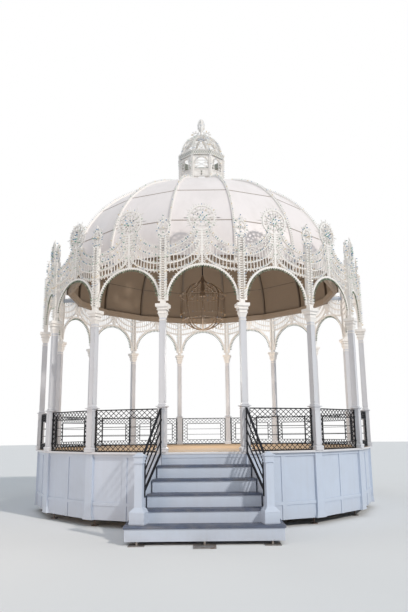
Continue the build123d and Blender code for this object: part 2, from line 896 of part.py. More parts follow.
def lantern_face():
    """One side between posts: a low panel with a slot, and above it an arch with thin bars and rungs."""
    foot = lantern_height(lantern_foot) + lantern_panel_gap
    top = lantern_height(lantern_cornice_bottom)
    half = lantern_radius * math.sin(math.pi / lantern_sides)
    sill = foot + lantern_parapet_height
    springing = lantern_height(lantern_arch_springing)
    reach = lantern_arch_width / 2.0
    opening = Pos(0, (sill + springing) / 2.0) * Rectangle(lantern_arch_width, springing - sill)
    opening += Pos(0, springing) * Circle(reach)
    slot = Rectangle(lantern_slot_width, lantern_slot_height)
    opening += Pos(0, foot + lantern_slot_foot + lantern_slot_height / 2.0) * slot
    bars = Sketch()
    for side in (-1.0, 1.0):
        x = side * lantern_bar_distance
        bars += strip((x, sill), (x, top), lantern_bar)
        for i in range(lantern_rung_count):
            z = sill + (i + 1) * lantern_rung_pitch
            bars += strip((x, z), (side * reach, z), lantern_bar)
    sketch = Pos(0, (foot + top) / 2.0) * Rectangle(2.0 * half, top - foot)
    sketch = (sketch - opening) + (bars & opening)
    sheet = upright_sheet(sketch, lantern_panel_thickness, -lantern_apothem())
    post = lantern_post_piece()
    for side in (-1.0, 1.0):
        sheet -= turned(post, side * lantern_corners[0])
    return sheet


def lantern_cornice():
    """The octagonal band over the posts."""
    outer = (lantern_radius + lantern_post / 2.0) * math.cos(math.pi / lantern_sides)
    z = lantern_height(lantern_cornice_bottom)
    return plan_ring(outer, outer - lantern_cornice_depth, lantern_cornice_height, z, lantern_sides)


def cupola_foot():
    """Height of the cornice's top."""
    return lantern_height(lantern_cornice_bottom) + lantern_cornice_height


def cupola_hub():
    """The round block where the cupola's ribs meet."""
    hub = Cylinder(cupola_hub_radius, cupola_hub_height, align=(Align.CENTER, Align.CENTER, Align.MIN))
    return Pos(0, 0, cupola_foot() + cupola_rise - cupola_hub_height) * hub


def cupola_rib():
    """A curved rib of the little cupola, from the cornice to the hub."""
    outer = Ellipse(cupola_radius, cupola_rise)
    outer -= Ellipse(cupola_radius - cupola_rib_depth, cupola_rise - cupola_rib_depth)
    window = Pos(cupola_radius / 2.0, cupola_rise / 2.0) * Rectangle(cupola_radius, cupola_rise)
    sketch = Pos(0, cupola_foot()) * (outer & window)
    rib = extrude(radial_plane() * sketch, cupola_rib_width / 2.0, both=True)
    return rib - cupola_hub()


def volute():
    """A small scroll that leans out from the hub's rim."""
    radius = volute_height / 2.0
    foot = cupola_foot() + cupola_rise
    centre = volute_reach - radius
    level = foot + volute_bar / 2.0
    sketch = Pos(centre, foot + radius) * (Circle(radius) - Circle(radius - volute_bar))
    sketch += strip((cupola_hub_radius / 2.0, level), (centre, level), volute_bar)
    return extrude(radial_plane() * sketch, volute_bar / 2.0, both=True)


def leaf(bar):
    """A pointed leaf whose outline lies this far inside the finial's."""
    half_width = finial_leaf_width / 2.0
    half_height = finial_leaf_height / 2.0
    arc_radius = (half_width ** 2 + half_height ** 2) / finial_leaf_width
    offset = arc_radius - half_width
    return Pos(-offset, 0) * Circle(arc_radius - bar) & Pos(offset, 0) * Circle(arc_radius - bar)


def finial():
    """A stem on the hub with two open leaves that cross at its top."""
    foot = cupola_foot() + cupola_rise
    stem_height = finial_height - finial_leaf_bar
    stem = Cylinder(finial_stem_radius, stem_height, align=(Align.CENTER, Align.CENTER, Align.MIN))
    middle = foot + finial_height - finial_leaf_height / 2.0
    blade = upright_sheet(Pos(0, middle) * (leaf(0.0) - leaf(finial_leaf_bar)), finial_leaf_bar, 0.0)
    return Pos(0, 0, foot) * stem + blade + turned(blade, 90.0)


# Hanging light


def light_point(radius, height):
    """A point of the hanging light's outline: its distance from the axis and its height."""
    return (radius, deck_height + height)


def light_rib():
    """One curved bar of the hanging light: a hollow cone, a shoulder, a side and a bowl."""
    peak = light_point(light_stem_radius / 2.0, light_peak - light_bar)
    shoulder = light_point(light_shoulder_radius, light_shoulder_height)
    ring = light_point(light_ring_radius, light_ring_height)
    bowl = light_point(light_bowl_radius, light_bowl_height)
    foot = light_point(light_stem_radius / 2.0, light_foot + light_bar)
    curves = [
        SagittaArc(peak, shoulder, -light_hollow_sag),
        SagittaArc(shoulder, ring, light_shoulder_sag),
        SagittaArc(ring, bowl, light_side_sag),
        SagittaArc(bowl, foot, light_bowl_sag),
    ]
    sketch = Sketch()
    for curve in curves:
        sketch += trace(curve, light_bar)
    return extrude(radial_plane() * sketch, light_bar / 2.0, both=True)


def light_ring(radius, height):
    """A level ring of the hanging light, its middle at this distance and height."""
    half = light_bar / 2.0
    return plan_ring(radius + half, radius - half, light_bar, deck_height + height - half)


def hanging_light():
    """An openwork light with a stem, a solid cone round it, curved ribs and three rings."""
    low = deck_height + light_foot
    stem_height = light_peak - light_foot
    stem = Cylinder(light_stem_radius, stem_height, align=(Align.CENTER, Align.CENTER, Align.MIN))
    core_height = light_peak - light_ring_height
    core = Cone(light_core_radius, light_stem_radius, core_height, align=(Align.CENTER, Align.CENTER, Align.MIN))
    light = Pos(0, 0, low) * stem + Pos(0, 0, deck_height + light_ring_height) * core
    rib = light_rib()
    for i in range(light_ribs):
        light += turned(rib, i * 360.0 / light_ribs)
    light += light_ring(light_shoulder_radius, light_shoulder_height)
    light += light_ring(light_ring_radius, light_ring_height)
    light += light_ring(light_bowl_radius, light_bowl_height)
    return light


def hanging_beam():
    """The bar across the curb's hole that the light hangs from."""
    reach = 2.0 * (lantern_apothem() - lantern_curb_width / 2.0)
    return block(reach, light_beam, light_beam, z=lantern_height(lantern_foot) - lantern_curb_height)


def hanging_rod():
    """The rod from the bar across the curb down to the light."""
    foot = deck_height + light_peak
    length = lantern_height(lantern_foot) - lantern_curb_height - foot
    rod = Cylinder(light_rod_radius, length, align=(Align.CENTER, Align.CENTER, Align.MIN))
    return Pos(0, 0, foot) * rod


def main():
    os.makedirs("parts", exist_ok=True)
    props = prop_places()
    write("deck_floor", [deck_floor()])
    write("deck_frame", [deck_frame()])
    write("deck_props", [place * prop() for place in props])
    write("screw_feet", [place * screw_foot(foot_stem_height) for place in props])
    write("skirt_panels", around(skirt_panel(), bay_angles))
    write("skirt_fascia", around(skirt_fascia(), bay_angles))
    write("skirt_pilasters", around(pilaster(), corner_angles))
    write("stair_base", [stair_base()])
    write("stair_feet", stair_feet())
    write("stair_treads", stair_treads())
    write("stair_risers", stair_risers())
    write("stair_sides", mirrored_pair(stair_side()))
    write("newel_posts", mirrored_pair(newel()))
    write("stair_rails", mirrored_pair(stair_rail()))
    write("pedestals", around(pedestal(), corner_angles))
    write("column_shafts", around(shaft(), corner_angles))
    write("capitals", around(capital(), corner_angles))
    write("light_uprights", around(upright(), corner_angles))
    write("upright_crowns", around(crown(), corner_angles))
    panel = railing()
    for side, angles in railed_sides().items():
        write("railings_" + side, around(panel, angles))
    bay = frieze()
    for number in range(0, side_count, friezes_in_node):
        angles = bay_angles[number:number + friezes_in_node]
        write("light_friezes_%02d" % (number + 1), around(bay, angles))
    write("rim_beam", [rim_beam()])
    write("dome_brackets", around(dome_bracket(), corner_angles))
    write("dome_ribs", around(dome_rib(), corner_angles))
    write("dome_panels_low", around(gore(panel_bottom, seam_low), bay_angles))
    write("dome_panels_middle", around(gore(seam_low, seam_high), bay_angles))
    write("dome_panels_high", around(gore(seam_high, dome_centre + dome_rise), bay_angles))
    write("lantern_curb", [lantern_curb()])
    write("lantern_posts", around(lantern_post_piece(), lantern_corners))
    write("lantern_faces", around(lantern_face(), lantern_faces))
    write("lantern_cornice", [lantern_cornice()])
    write("cupola_ribs", around(cupola_rib(), lantern_corners))
    write("cupola_hub", [cupola_hub()])
    write("cupola_volutes", around(volute(), volute_angles))
    write("finial", [finial()])
    write("hanging_beam", [hanging_beam()])
    write("hanging_rod", [hanging_rod()])
    write("hanging_light", [hanging_light()])


main()
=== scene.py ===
import json
import math

import bpy
import numpy as np
from bpy.props import FloatProperty, FloatVectorProperty, IntProperty, PointerProperty
from mathutils import Matrix, Vector


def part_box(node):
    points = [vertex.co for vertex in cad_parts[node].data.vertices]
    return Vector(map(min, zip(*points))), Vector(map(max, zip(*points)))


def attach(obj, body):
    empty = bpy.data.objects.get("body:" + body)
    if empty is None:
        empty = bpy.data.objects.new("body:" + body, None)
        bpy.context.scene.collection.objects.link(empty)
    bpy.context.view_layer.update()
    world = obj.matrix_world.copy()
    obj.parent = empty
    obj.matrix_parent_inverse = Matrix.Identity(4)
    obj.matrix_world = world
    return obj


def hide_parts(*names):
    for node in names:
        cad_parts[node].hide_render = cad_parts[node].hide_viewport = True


bl_info = {
    "name": "Festive Bandstand",
    "version": (1, 0, 0),
    "blender": (4, 5, 0),
    "location": "3D View > Sidebar > Bandstand",
    "description": "Lamps, openwork, boards, mouldings and finishes of a sixteen-sided bandstand",
    "category": "Object",
}

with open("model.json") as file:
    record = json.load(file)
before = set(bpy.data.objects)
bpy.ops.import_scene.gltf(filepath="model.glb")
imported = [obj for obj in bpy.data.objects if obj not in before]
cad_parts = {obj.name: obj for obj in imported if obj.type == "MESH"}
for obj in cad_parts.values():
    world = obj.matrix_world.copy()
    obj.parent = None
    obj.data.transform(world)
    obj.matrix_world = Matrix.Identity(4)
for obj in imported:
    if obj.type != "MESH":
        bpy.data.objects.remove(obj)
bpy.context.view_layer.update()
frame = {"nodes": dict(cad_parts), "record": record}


# Sizes and colours


def metres(name, description, default):
    """A length that the user can change."""
    return FloatProperty(name=name, description=description, default=default, unit="LENGTH")


def two_metres(name, description, default):
    """Two lengths that the user can change."""
    return FloatVectorProperty(name=name, description=description, default=default, size=2, unit="LENGTH")


def rotation(name, description, default):
    """An angle that the user can change."""
    return FloatProperty(name=name, description=description, default=default, unit="ROTATION")


def watts(name, description, default):
    """A lamp's power that the user can change."""
    return FloatProperty(name=name, description=description, default=default, unit="POWER")


def tint(name, description, default):
    """A colour that the user can change."""
    return FloatVectorProperty(name=name, description=description, default=default, subtype="COLOR")


class PlanSizes(bpy.types.PropertyGroup):
    """Sizes of the stage and its columns."""

    sides: IntProperty(name="Sides", description="Sides of the plan", default=16, min=8)
    column_circle: metres("Column circle", "Distance from the axis to a column", 4.0)
    floor: metres("Floor", "Height of the stage floor above the ground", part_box("deck_floor")[1].z)
    floor_overhang: metres("Floor overhang", "Floor beyond the middle line of the railings", 0.092)
    floor_board: metres("Floor board", "Width of a board", 0.118)
    floor_gap: metres("Board gap", "Gap between two boards", 0.005)
    shaft: metres("Column shaft", "Width of a column's shaft", 0.112)
    pedestal: metres("Pedestal", "Width of a pedestal", 0.146)


class StairSizes(bpy.types.PropertyGroup):
    """Places of the right newel and the right stair rail; the left ones mirror them."""

    newel: two_metres("Newel", "Middle of the newel in the plan", (1.0712, -5.08))
    newel_half: metres("Newel half", "Half the newel's width", 0.0675)
    near: two_metres("Rail top end", "Upper end of the rail in the plan", (0.804, -4.0316))
    far: two_metres("Rail low end", "Lower end of the rail in the plan", (1.0448, -4.9764))
    foot_near: metres("Foot at top", "Low bar at the upper end", 1.38)
    top_near: metres("Top at top", "Top bar at the upper end", 2.185)
    foot_far: metres("Foot at foot", "Low bar at the lower end", 0.705)
    top_far: metres("Top at foot", "Top bar at the lower end", 1.302)
    rail_cap: metres("Rail cap", "Width of the bar on a rail", 0.042)


class FriezeSizes(bpy.types.PropertyGroup):
    """Sizes of the light friezes, their uprights and heads, with heights above the floor."""

    arch_radius: metres("Arch", "Inner radius of an arch", 0.6759)
    arch_band: metres("Arch band", "Width of the arch's band", 0.042)
    springing: metres("Springing", "Height of the arch's centre", 2.95)
    depth: metres("Depth", "Thickness of the frieze", 0.036)
    tick: metres("Tick", "Width of a short bar between swags", 0.014)
    tick_pitch: metres("Tick pitch", "From bar to bar", 0.088)
    thread: metres("Thread", "Width of the finest openwork", 0.01)
    curl_radius: metres("Curl", "Radius of a small ring", 0.04)
    rosette_centre: metres("Rosette centre", "Height of the rosette's middle", 4.63)
    rosette_radius: metres("Rosette", "Outer radius of the rosette's ring", 0.275)
    upright_foot: metres("Upright foot", "Foot of a ladder", 2.91)
    upright_top: metres("Upright top", "Top of a ladder", 4.21)
    upright_width: metres("Upright width", "Width of a ladder", 0.125)
    upright_depth: metres("Upright depth", "Depth of a ladder", 0.1)


class DomeSizes(bpy.types.PropertyGroup):
    """Sizes of the dome and the lantern, with heights above the floor."""

    radius: metres("Radius", "To the ribs' outer edges", 3.59)
    centre: metres("Centre", "Height of the curve's centre", 4.12)
    rise: metres("Rise", "Height of the curve", 2.8)
    rim: metres("Rim", "Height of the ribs' feet", 3.81)
    curb: metres("Curb", "Where the ribs end, from the axis", 0.7)
    setback: metres("Setback", "Panels behind the ribs' edges", 0.036)
    panel: metres("Panel", "Thickness of a panel", 0.022)
    seam: metres("Seam strip", "Width of the strip on a seam", 0.018)
    lantern_sides: IntProperty(name="Lantern sides", description="Sides of the lantern", default=8)
    lantern_radius: metres("Lantern", "Axis to a lantern post", 0.62)
    lantern_foot: metres("Lantern foot", "Top of the curb", 6.9)
    cornice_foot: metres("Cornice foot", "Bottom of the cornice", 7.71)
    cornice_height: metres("Cornice", "Height of the cornice", 0.14)
    cupola_radius: metres("Cupola radius", "Axis to the feet of the cupola's ribs", 0.585)
    cupola_rise: metres("Cupola", "Rise of the cupola's ribs", 0.68)


class HangingLightSizes(bpy.types.PropertyGroup):
    """Sizes of the light that hangs under the dome; heights above the floor."""

    peak: metres("Peak", "Top of the ribs", 4.456)
    foot: metres("Foot", "Bottom of the ribs", 3.004)
    shoulder: two_metres("Shoulder", "Radius and height of the top ring", (0.3, 4.19))
    ring: two_metres("Ring", "Radius and height of the middle ring", (0.59, 3.9))
    bowl: two_metres("Bowl", "Radius and height of the low ring", (0.5, 3.26))
    ribs: IntProperty(name="Ribs", description="Ribs of the light", default=8)
    string: metres("String", "Length of a string of drops", 0.3)


class LampSizes(bpy.types.PropertyGroup):
    """Sizes of the small lamps and the gaps between them."""

    length: metres("Length", "Length of a lamp with its socket", 0.044)
    radius: metres("Radius", "Radius of a lamp at its widest", 0.0105)
    pitch: metres("Pitch", "Distance from lamp to lamp", 0.055)


class Finishes(bpy.types.PropertyGroup):
    """Colours of the finishes."""

    # The stage paint's bluish grey is painted shade: white paint as it looks in skylit shadow.
    paint: tint("Stage paint", "Skirt and stair", (0.53, 0.592, 0.7))
    # Column paint is the openwork's white made darker and cooler: painted shade on shafts and pedestals.
    columns: tint("Column paint with painted shade", "Columns and pedestals", (0.65, 0.655, 0.69))
    woodwork: tint("Openwork", "Friezes, ribs and lantern", (0.9, 0.865, 0.83))
    sheet: tint("Dome sheet", "Outside of the dome", (0.85, 0.795, 0.788))
    lining: tint("Dome lining", "Inside of the dome", (0.24, 0.18, 0.129))
    seam: tint("Seams", "Strips on the dome's seams", (0.36, 0.3, 0.26))
    tread: tint("Treads", "Floor paint of the stair", (0.066, 0.083, 0.13))
    boards: tint("Floor boards", "Boards of the stage", (0.35, 0.23, 0.125))
    iron: tint("Iron", "Railings", (0.012, 0.013, 0.017))
    metal: tint("Bare metal", "Frame, props and feet", (0.3, 0.29, 0.28))
    gilt: tint("Gilt paint", "Hanging light", (0.16, 0.1, 0.055))
    rust: tint("Rust", "Rust on metal", (0.13, 0.08, 0.055))
    # The cornice's colour is painted shade: a greenish dark behind the white lattice where its openings lie
    # in shadow.
    shade: tint("Lantern cornice", "The cornice's greenish shade", (0.4, 0.43, 0.39))
    dirt: tint("Dirt", "Dust and rain marks on paint", (0.33, 0.29, 0.25))


class StageSizes(bpy.types.PropertyGroup):
    """The studio around the object."""

    backdrop: tint("Floor colour", "Colour of the studio floor", (0.8, 0.8, 0.8))
    floor_reach: metres("Floor reach", "Radius of the floor", 90.0)
    key: FloatProperty(name="Key light", description="Strength of the key light", default=1.85)
    fill: FloatProperty(name="Fill light", description="Strength of the fill light", default=0.2)
    surround: FloatProperty(name="Surround", description="Strength of the light from all round", default=0.55)
    inner: watts("Inner light", "Power of the lamp under the dome", 300.0)
    low: watts("Low light", "Power of the low lamp on the left", 50.0)
    camera_place: FloatVectorProperty(
        name="Camera",
        description="Place of the camera",
        default=(0.009, -15.163, 1.741),
        subtype="TRANSLATION",
    )
    yaw: rotation("Yaw", "Camera's turn to the right", math.radians(0.096))
    pitch: rotation("Pitch", "Camera's tilt up", math.radians(12.242))
    roll: rotation("Roll", "Camera's roll", math.radians(-0.561))
    lens: FloatProperty(name="Lens", description="Focal length in millimetres", default=34.35)


# Shapes as arrays

GOLDEN_SHARE = 0.6180339887


def points_at(x, y, z):
    """Points or directions from numbers and arrays, spread to one shape."""
    return np.stack(np.broadcast_arrays(x, y, z), -1).astype(float)


class Shape:
    """Points, faces as arrays of corner numbers, and a number for each point that colours a lamp."""

    def __init__(self, points, faces, number=None):
        self.points = np.asarray(points, float)
        self.faces = [np.asarray(f, int) for f in faces]
        self.number = np.zeros(len(self.points)) if number is None else np.asarray(number, float)


def joined(shapes):
    """All the shapes as one: each one's corner numbers go up by the points before it."""
    starts = np.cumsum([0] + [len(s.points) for s in shapes[:-1]])
    faces = [f + start for s, start in zip(shapes, starts) for f in s.faces]
    return Shape(
        np.concatenate([s.points for s in shapes]), faces, np.concatenate([s.number for s in shapes])
    )


def grid(points, wrap_along, wrap_across):
    """A sheet of four-sided faces over points of shape (along, across, 3), closed where it wraps."""
    along, across = points.shape[:2]
    i = np.arange(along if wrap_along else along - 1)[:, None]
    j = np.arange(across if wrap_across else across - 1)[None, :]
    i2, j2 = (i + 1) % along, (j + 1) % across
    quads = np.stack([i * across + j, i2 * across + j, i2 * across + j2, i * across + j2], -1)
    return Shape(points.reshape(-1, 3), [quads.reshape(-1, 4)])


def turned(profile, sides):
    """A profile of (radius, height) points, whose first and last lie on the axis, turned about Z."""
    profile = np.asarray(profile, float)
    rings = profile[1:-1]
    angle = 2.0 * math.pi * np.arange(sides) / sides
    r, z = rings[:, :1], rings[:, 1:]
    body = grid(points_at(r * np.cos(angle), r * np.sin(angle), z), False, True)
    count = len(rings) * sides
    points = np.concatenate([body.points, [[0, 0, profile[0, 1]], [0, 0, profile[-1, 1]]]])
    k = np.arange(sides)
    k2 = (k + 1) % sides
    low = np.stack([np.full(sides, count), k2, k], -1)
    high = np.stack([np.full(sides, count + 1), count - sides + k, count - sides + k2], -1)
    return Shape(points, [body.faces[0][:, ::-1], low, high])


def frames_along(directions, side):
    """One frame for each direction: rows are the side axis made square to it, their cross product, and it."""
    forward = directions / np.linalg.norm(directions, axis=1)[:, None]
    side = np.broadcast_to(np.asarray(side, float), forward.shape)
    across = side - forward * (side * forward).sum(1)[:, None]
    across /= np.linalg.norm(across, axis=1)[:, None]
    return np.stack([across, np.cross(forward, across), forward], 1)


def copies(shape, places, frames):
    """The shape at each place, its X, Y and Z along the rows of that place's frame."""
    places = np.asarray(places, float)
    points = np.einsum("pi,mij->mpj", shape.points, frames) + places[:, None]
    offset = len(shape.points) * np.arange(len(places))[:, None, None]
    faces = [(f[None] + offset).reshape(-1, f.shape[1]) for f in shape.faces]
    share = (np.arange(len(places)) * GOLDEN_SHARE) % 1.0
    return Shape(points.reshape(-1, 3), faces, np.repeat(share, len(shape.points)))


def around(shape, angles):
    """A copy of the shape turned about the plan's axis by each angle in degrees."""
    a = np.radians(np.asarray(angles, float))
    c, s = np.cos(a), np.sin(a)
    frames = np.stack([points_at(c, s, 0.0), points_at(-s, c, 0.0), points_at(0.0 * a, 0.0, 1.0)], 1)
    made = copies(shape, np.zeros((len(a), 3)), frames)
    made.number = (np.tile(shape.number, len(a)) + made.number) % 1.0
    return made


CUBE = Shape(
    [[x, y, z] for x in (-0.5, 0.5) for y in (-0.5, 0.5) for z in (-0.5, 0.5)],
    [[[0, 1, 3, 2], [4, 6, 7, 5], [0, 4, 5, 1], [2, 3, 7, 6], [0, 2, 6, 4], [1, 5, 7, 3]]],
)


def boxes(centres, sizes):
    """Upright boxes: a unit cube scaled to each size and moved to each centre."""
    centres = np.atleast_2d(np.asarray(centres, float))
    sizes = np.broadcast_to(np.asarray(sizes, float), centres.shape)
    frames = np.eye(3)[None] * sizes[:, None, :]
    return copies(CUBE, centres, frames)


def bars(starts, ends, width, depth, depth_axis=(0, -1, 0)):
    """Straight bars from start to end: a unit cube, deep along the depth axis and long from end to end."""
    starts, ends = np.atleast_2d(np.asarray(starts, float)), np.atleast_2d(np.asarray(ends, float))
    run = ends - starts
    frames = frames_along(run, depth_axis)
    length = np.linalg.norm(run, axis=1)
    scale = np.stack([np.full(len(run), depth), np.full(len(run), width), length], -1)
    return copies(CUBE, (starts + ends) / 2.0, frames * scale[:, :, None])


def lamps(places, directions, sizes, scale=1.0):
    """A lamp at each place: a socket and a pointed bulb turned about the direction it points in."""
    r, h = scale * sizes.radius, scale * sizes.length
    bulb = turned([(0, 0), (0.8 * r, 0), (0.85 * r, 0.3 * h), (r, 0.6 * h), (0, h)], 6)
    directions = np.atleast_2d(np.asarray(directions, float))
    directions = np.broadcast_to(directions, np.atleast_2d(places).shape)
    steep = np.abs(directions[:, 2:]) >= 0.9 * np.linalg.norm(directions, axis=1)[:, None]
    side = np.where(steep, (1.0, 0.0, 0.0), (0.0, 0.0, 1.0))
    return copies(bulb, places, frames_along(directions, side))


def evenly(points, count):
    """This many points at even steps along a line of points, with the direction of the line there."""
    length = np.concatenate([[0], np.cumsum(np.linalg.norm(np.diff(points, axis=0), axis=1))])
    at = (np.arange(count) + 0.5) * length[-1] / count
    here = np.stack([np.interp(at, length, points[:, k]) for k in range(3)], -1)
    ahead = np.stack([np.interp(at + 1e-3, length, points[:, k]) for k in range(3)], -1)
    return here, ahead - here


def stepped(points, pitch):
    """Points about this pitch apart along a line of points, with the direction of the line there."""
    length = np.linalg.norm(np.diff(points, axis=0), axis=1).sum()
    return evenly(points, max(2, int(round(length / pitch)) + 1))


def arc(centre, radius, start, end, count):
    """Points of a part circle in the bay's plane, angles in degrees from +X."""
    a = np.radians(np.linspace(start, end, count))
    return points_at(centre[0] + radius * np.cos(a), centre[1], centre[2] + radius * np.sin(a))


def spokes(count, first=0.0):
    """Directions at even steps round the bay's plane, the first one this share of a step on from +X."""
    a = 2.0 * math.pi * (np.arange(count) + first) / count
    return points_at(np.cos(a), 0.0, np.sin(a))


def ring(centre, radius, bar, depth, count):
    """A flat ring in the bay's plane: a rectangle, bar wide and depth deep, carried round a circle."""
    a = 2.0 * math.pi * np.arange(count) / count
    spoke = points_at(-np.sin(a), 0.0, np.cos(a))
    rows = []
    for across, ahead in ((-bar, -depth), (bar, -depth), (bar, depth), (-bar, depth)):
        rows.append(np.asarray(centre) + spoke * (radius + across / 2.0) - np.array([0.0, ahead / 2.0, 0.0]))
    return grid(np.stack(rows, 1), True, True)


def moulding(profile, sides, offset=0.0):
    """A closed profile of (distance to the side, height) points carried round a regular polygon.

    Corner k lies at the profile's distance divided by the cosine of half a side's angle.
    """
    profile = np.asarray(profile, float)
    half = math.pi / sides
    a = 2.0 * math.pi * (np.arange(sides) + 0.5) / sides + math.radians(offset)
    reach = profile[None, :, 0] / math.cos(half)
    points = points_at(reach * np.sin(a)[:, None], -reach * np.cos(a)[:, None], profile[:, 1])
    return grid(points[:, ::-1], True, True)


def moved(shape, step):
    """The shape shifted by a step."""
    return Shape(shape.points + np.asarray(step, float), shape.faces, shape.number)


def mirrored(shape):
    """The shape and its mirror image across the plane X = 0, whose faces are turned round again."""
    points = shape.points * np.array([-1.0, 1.0, 1.0])
    return joined([shape, Shape(points, [f[:, ::-1] for f in shape.faces], shape.number)])


def piece(name, shape, material, smooth=False):
    """One object of the bandstand from a shape, with its finish, riding on the root body."""
    mesh = bpy.data.meshes.new(name)
    corners = np.concatenate([f.ravel() for f in shape.faces])
    counts = np.concatenate([np.full(len(f), f.shape[1]) for f in shape.faces])
    starts = np.concatenate([[0], np.cumsum(counts)[:-1]])
    mesh.vertices.add(len(shape.points))
    mesh.vertices.foreach_set("co", shape.points.astype(np.float32).ravel())
    mesh.loops.add(len(corners))
    mesh.loops.foreach_set("vertex_index", corners.astype(np.int32))
    mesh.polygons.add(len(counts))
    mesh.polygons.foreach_set("loop_start", starts.astype(np.int32))
    mesh.polygons.foreach_set("loop_total", counts.astype(np.int32))
    mesh.polygons.foreach_set("use_smooth", np.full(len(counts), smooth))
    number = mesh.attributes.new("number", "FLOAT", "POINT")
    number.data.foreach_set("value", shape.number.astype(np.float32))
    mesh.update(calc_edges=True)
    mesh.materials.append(bpy.data.materials[material])
    made = bpy.data.objects.new(name, mesh)
    bpy.context.scene.collection.objects.link(made)
    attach(made, "root")
    return made


# Places in the plan


def bay_angles(plan):
    """Angles of the bays' middles."""
    return 360.0 * np.arange(plan.sides) / plan.sides


def corner_angles(plan):
    """Angles of the columns."""
    return 360.0 * (np.arange(plan.sides) + 0.5) / plan.sides


def apothem(plan):
    """Distance from the axis to the railings' middle planes."""
    return plan.column_circle * math.cos(math.pi / plan.sides)


def half_bay(plan):
    """Half of the distance between two columns."""
    return plan.column_circle * math.sin(math.pi / plan.sides)


def swag(plan, number, start, end, count):
    """Points of a swag on the +X side of the front bay.

    A quarter of an ellipse leaves the upright level and ends upright beside the middle: across is
    half the bay less its stop times the sine of the angle, and up is its rise times one less the cosine.
    """
    foot = 3.53 + 0.157 * number
    rise = 0.43 + 0.0433 * number
    stop = 0.02 + 0.026 * number + 0.0033 * number**2
    a = np.radians(np.linspace(start, end, count))
    half = half_bay(plan)
    x = half - (half - stop) * np.sin(a)
    return points_at(x, -apothem(plan), plan.floor + foot + rise * (1.0 - np.cos(a)))


def rib_curve(plan, dome, setback, count=160):
    """Points of a dome rib's outer edge in the plane through the axis and -Y.

    It stands upright from the rim to the curve's centre, and follows an ellipse from there to the curb.
    """
    across, rise = dome.radius - setback, dome.rise - setback
    a = np.linspace(0.0, math.acos(dome.curb / across), count)
    y = -across * np.cos(a)
    z = plan.floor + dome.centre + rise * np.sin(a)
    points = np.stack([np.zeros(count), y, z], -1)
    return np.concatenate([[[0.0, -across, plan.floor + dome.rim + 0.1]], points])


# Finishes


def node(tree, kind, **values):
    """A node with its settings and unlinked inputs set by name, or by number after an underscore."""
    made = tree.nodes.new(kind)
    for key, value in values.items():
        if key.startswith("in_"):
            made.inputs[int(key[3:])].default_value = value
        else:
            setattr(made, key, value)
    return made


def link(tree, source, target):
    """Join an output to an input."""
    tree.links.new(source, target)


def fed(tree, made, values):
    """Give a node's inputs, by number or name, the outputs or plain values in a mapping."""
    for place, value in values.items():
        if isinstance(value, bpy.types.NodeSocket):
            link(tree, value, made.inputs[place])
        else:
            made.inputs[place].default_value = value


def sums(tree, operation, *values, **settings):
    """A number worked out from outputs or numbers, which are in the order of the node's inputs."""
    made = node(tree, "ShaderNodeMath", operation=operation, **settings)
    fed(tree, made, dict(enumerate(values)))
    return made.outputs[0]


def vectors(tree, operation, *values):
    """A vector worked out from outputs or vectors, or a number where the operation gives one."""
    made = node(tree, "ShaderNodeVectorMath", operation=operation)
    fed(tree, made, dict(enumerate(values)))
    return made.outputs["Value" if operation in ("LENGTH", "DOT_PRODUCT") else "Vector"]


def times(tree, source, factor):
    """An output multiplied by a number, kept from 0 to 1."""
    return sums(tree, "MULTIPLY", source, factor, use_clamp=True)


def noise(tree, vector, scale, detail, roughness=0.5):
    """Noise over a vector, at a scale that is a number or an output."""
    made = node(tree, "ShaderNodeTexNoise")
    fed(tree, made, {"Vector": vector, "Scale": scale, "Detail": detail, "Roughness": roughness})
    return made.outputs[0]


def ranged(tree, source, old=(0.0, 1.0), new=(0.0, 1.0)):
    """An output carried from its old range to a new one."""
    made = node(tree, "ShaderNodeMapRange", in_1=old[0], in_2=old[1], in_3=new[0], in_4=new[1])
    link(tree, source, made.inputs[0])
    return made.outputs[0]


def mixed(tree, factor, low, high):
    """A colour mix; low and high are colours or outputs, and factor an output."""
    made = node(tree, "ShaderNodeMix", data_type="RGBA")
    colours = [v if isinstance(v, bpy.types.NodeSocket) else (*v, 1.0) for v in (low, high)]
    fed(tree, made, {0: factor, 6: colours[0], 7: colours[1]})
    return made.outputs[2]


def new_group(name, inputs, outputs):
    """A node group and the sockets of its two ends, from (name, kind, default) inputs and output names."""
    group = bpy.data.node_groups.new(name, "ShaderNodeTree")
    for title, kind, default in inputs:
        made = group.interface.new_socket(title, in_out="INPUT", socket_type=kind)
        if default is not None:
            made.default_value = default
    for title in outputs:
        group.interface.new_socket(title, in_out="OUTPUT", socket_type="NodeSocketFloat")
    return group, node(group, "NodeGroupInput").outputs, node(group, "NodeGroupOutput").inputs


def rain_marks_group():
    """Marks that rain and dust leave: streaks that run down, and soft patches, both from 0 to 1."""
    inputs = (
        ("Vector", "NodeSocketVector", None),
        ("Streak width", "NodeSocketFloat", 9.0),
        ("Streak length", "NodeSocketFloat", 0.9),
        ("Patch size", "NodeSocketFloat", 1.4),
    )
    group, given, made = new_group("Rain marks", inputs, ("Streaks", "Patches"))
    split = node(group, "ShaderNodeSeparateXYZ")
    link(group, given["Vector"], split.inputs[0])
    stretched = node(group, "ShaderNodeCombineXYZ")
    for axis, factor in enumerate(("Streak width", "Streak width", "Streak length")):
        link(group, sums(group, "MULTIPLY", split.outputs[axis], given[factor]), stretched.inputs[axis])
    streaks = noise(group, stretched.outputs[0], 1.0, 4.0, 0.6)
    patches = noise(group, given["Vector"], given["Patch size"], 5.0, 0.62)
    link(group, ranged(group, streaks, (0.46, 0.72)), made["Streaks"])
    link(group, ranged(group, patches, (0.42, 0.7)), made["Patches"])


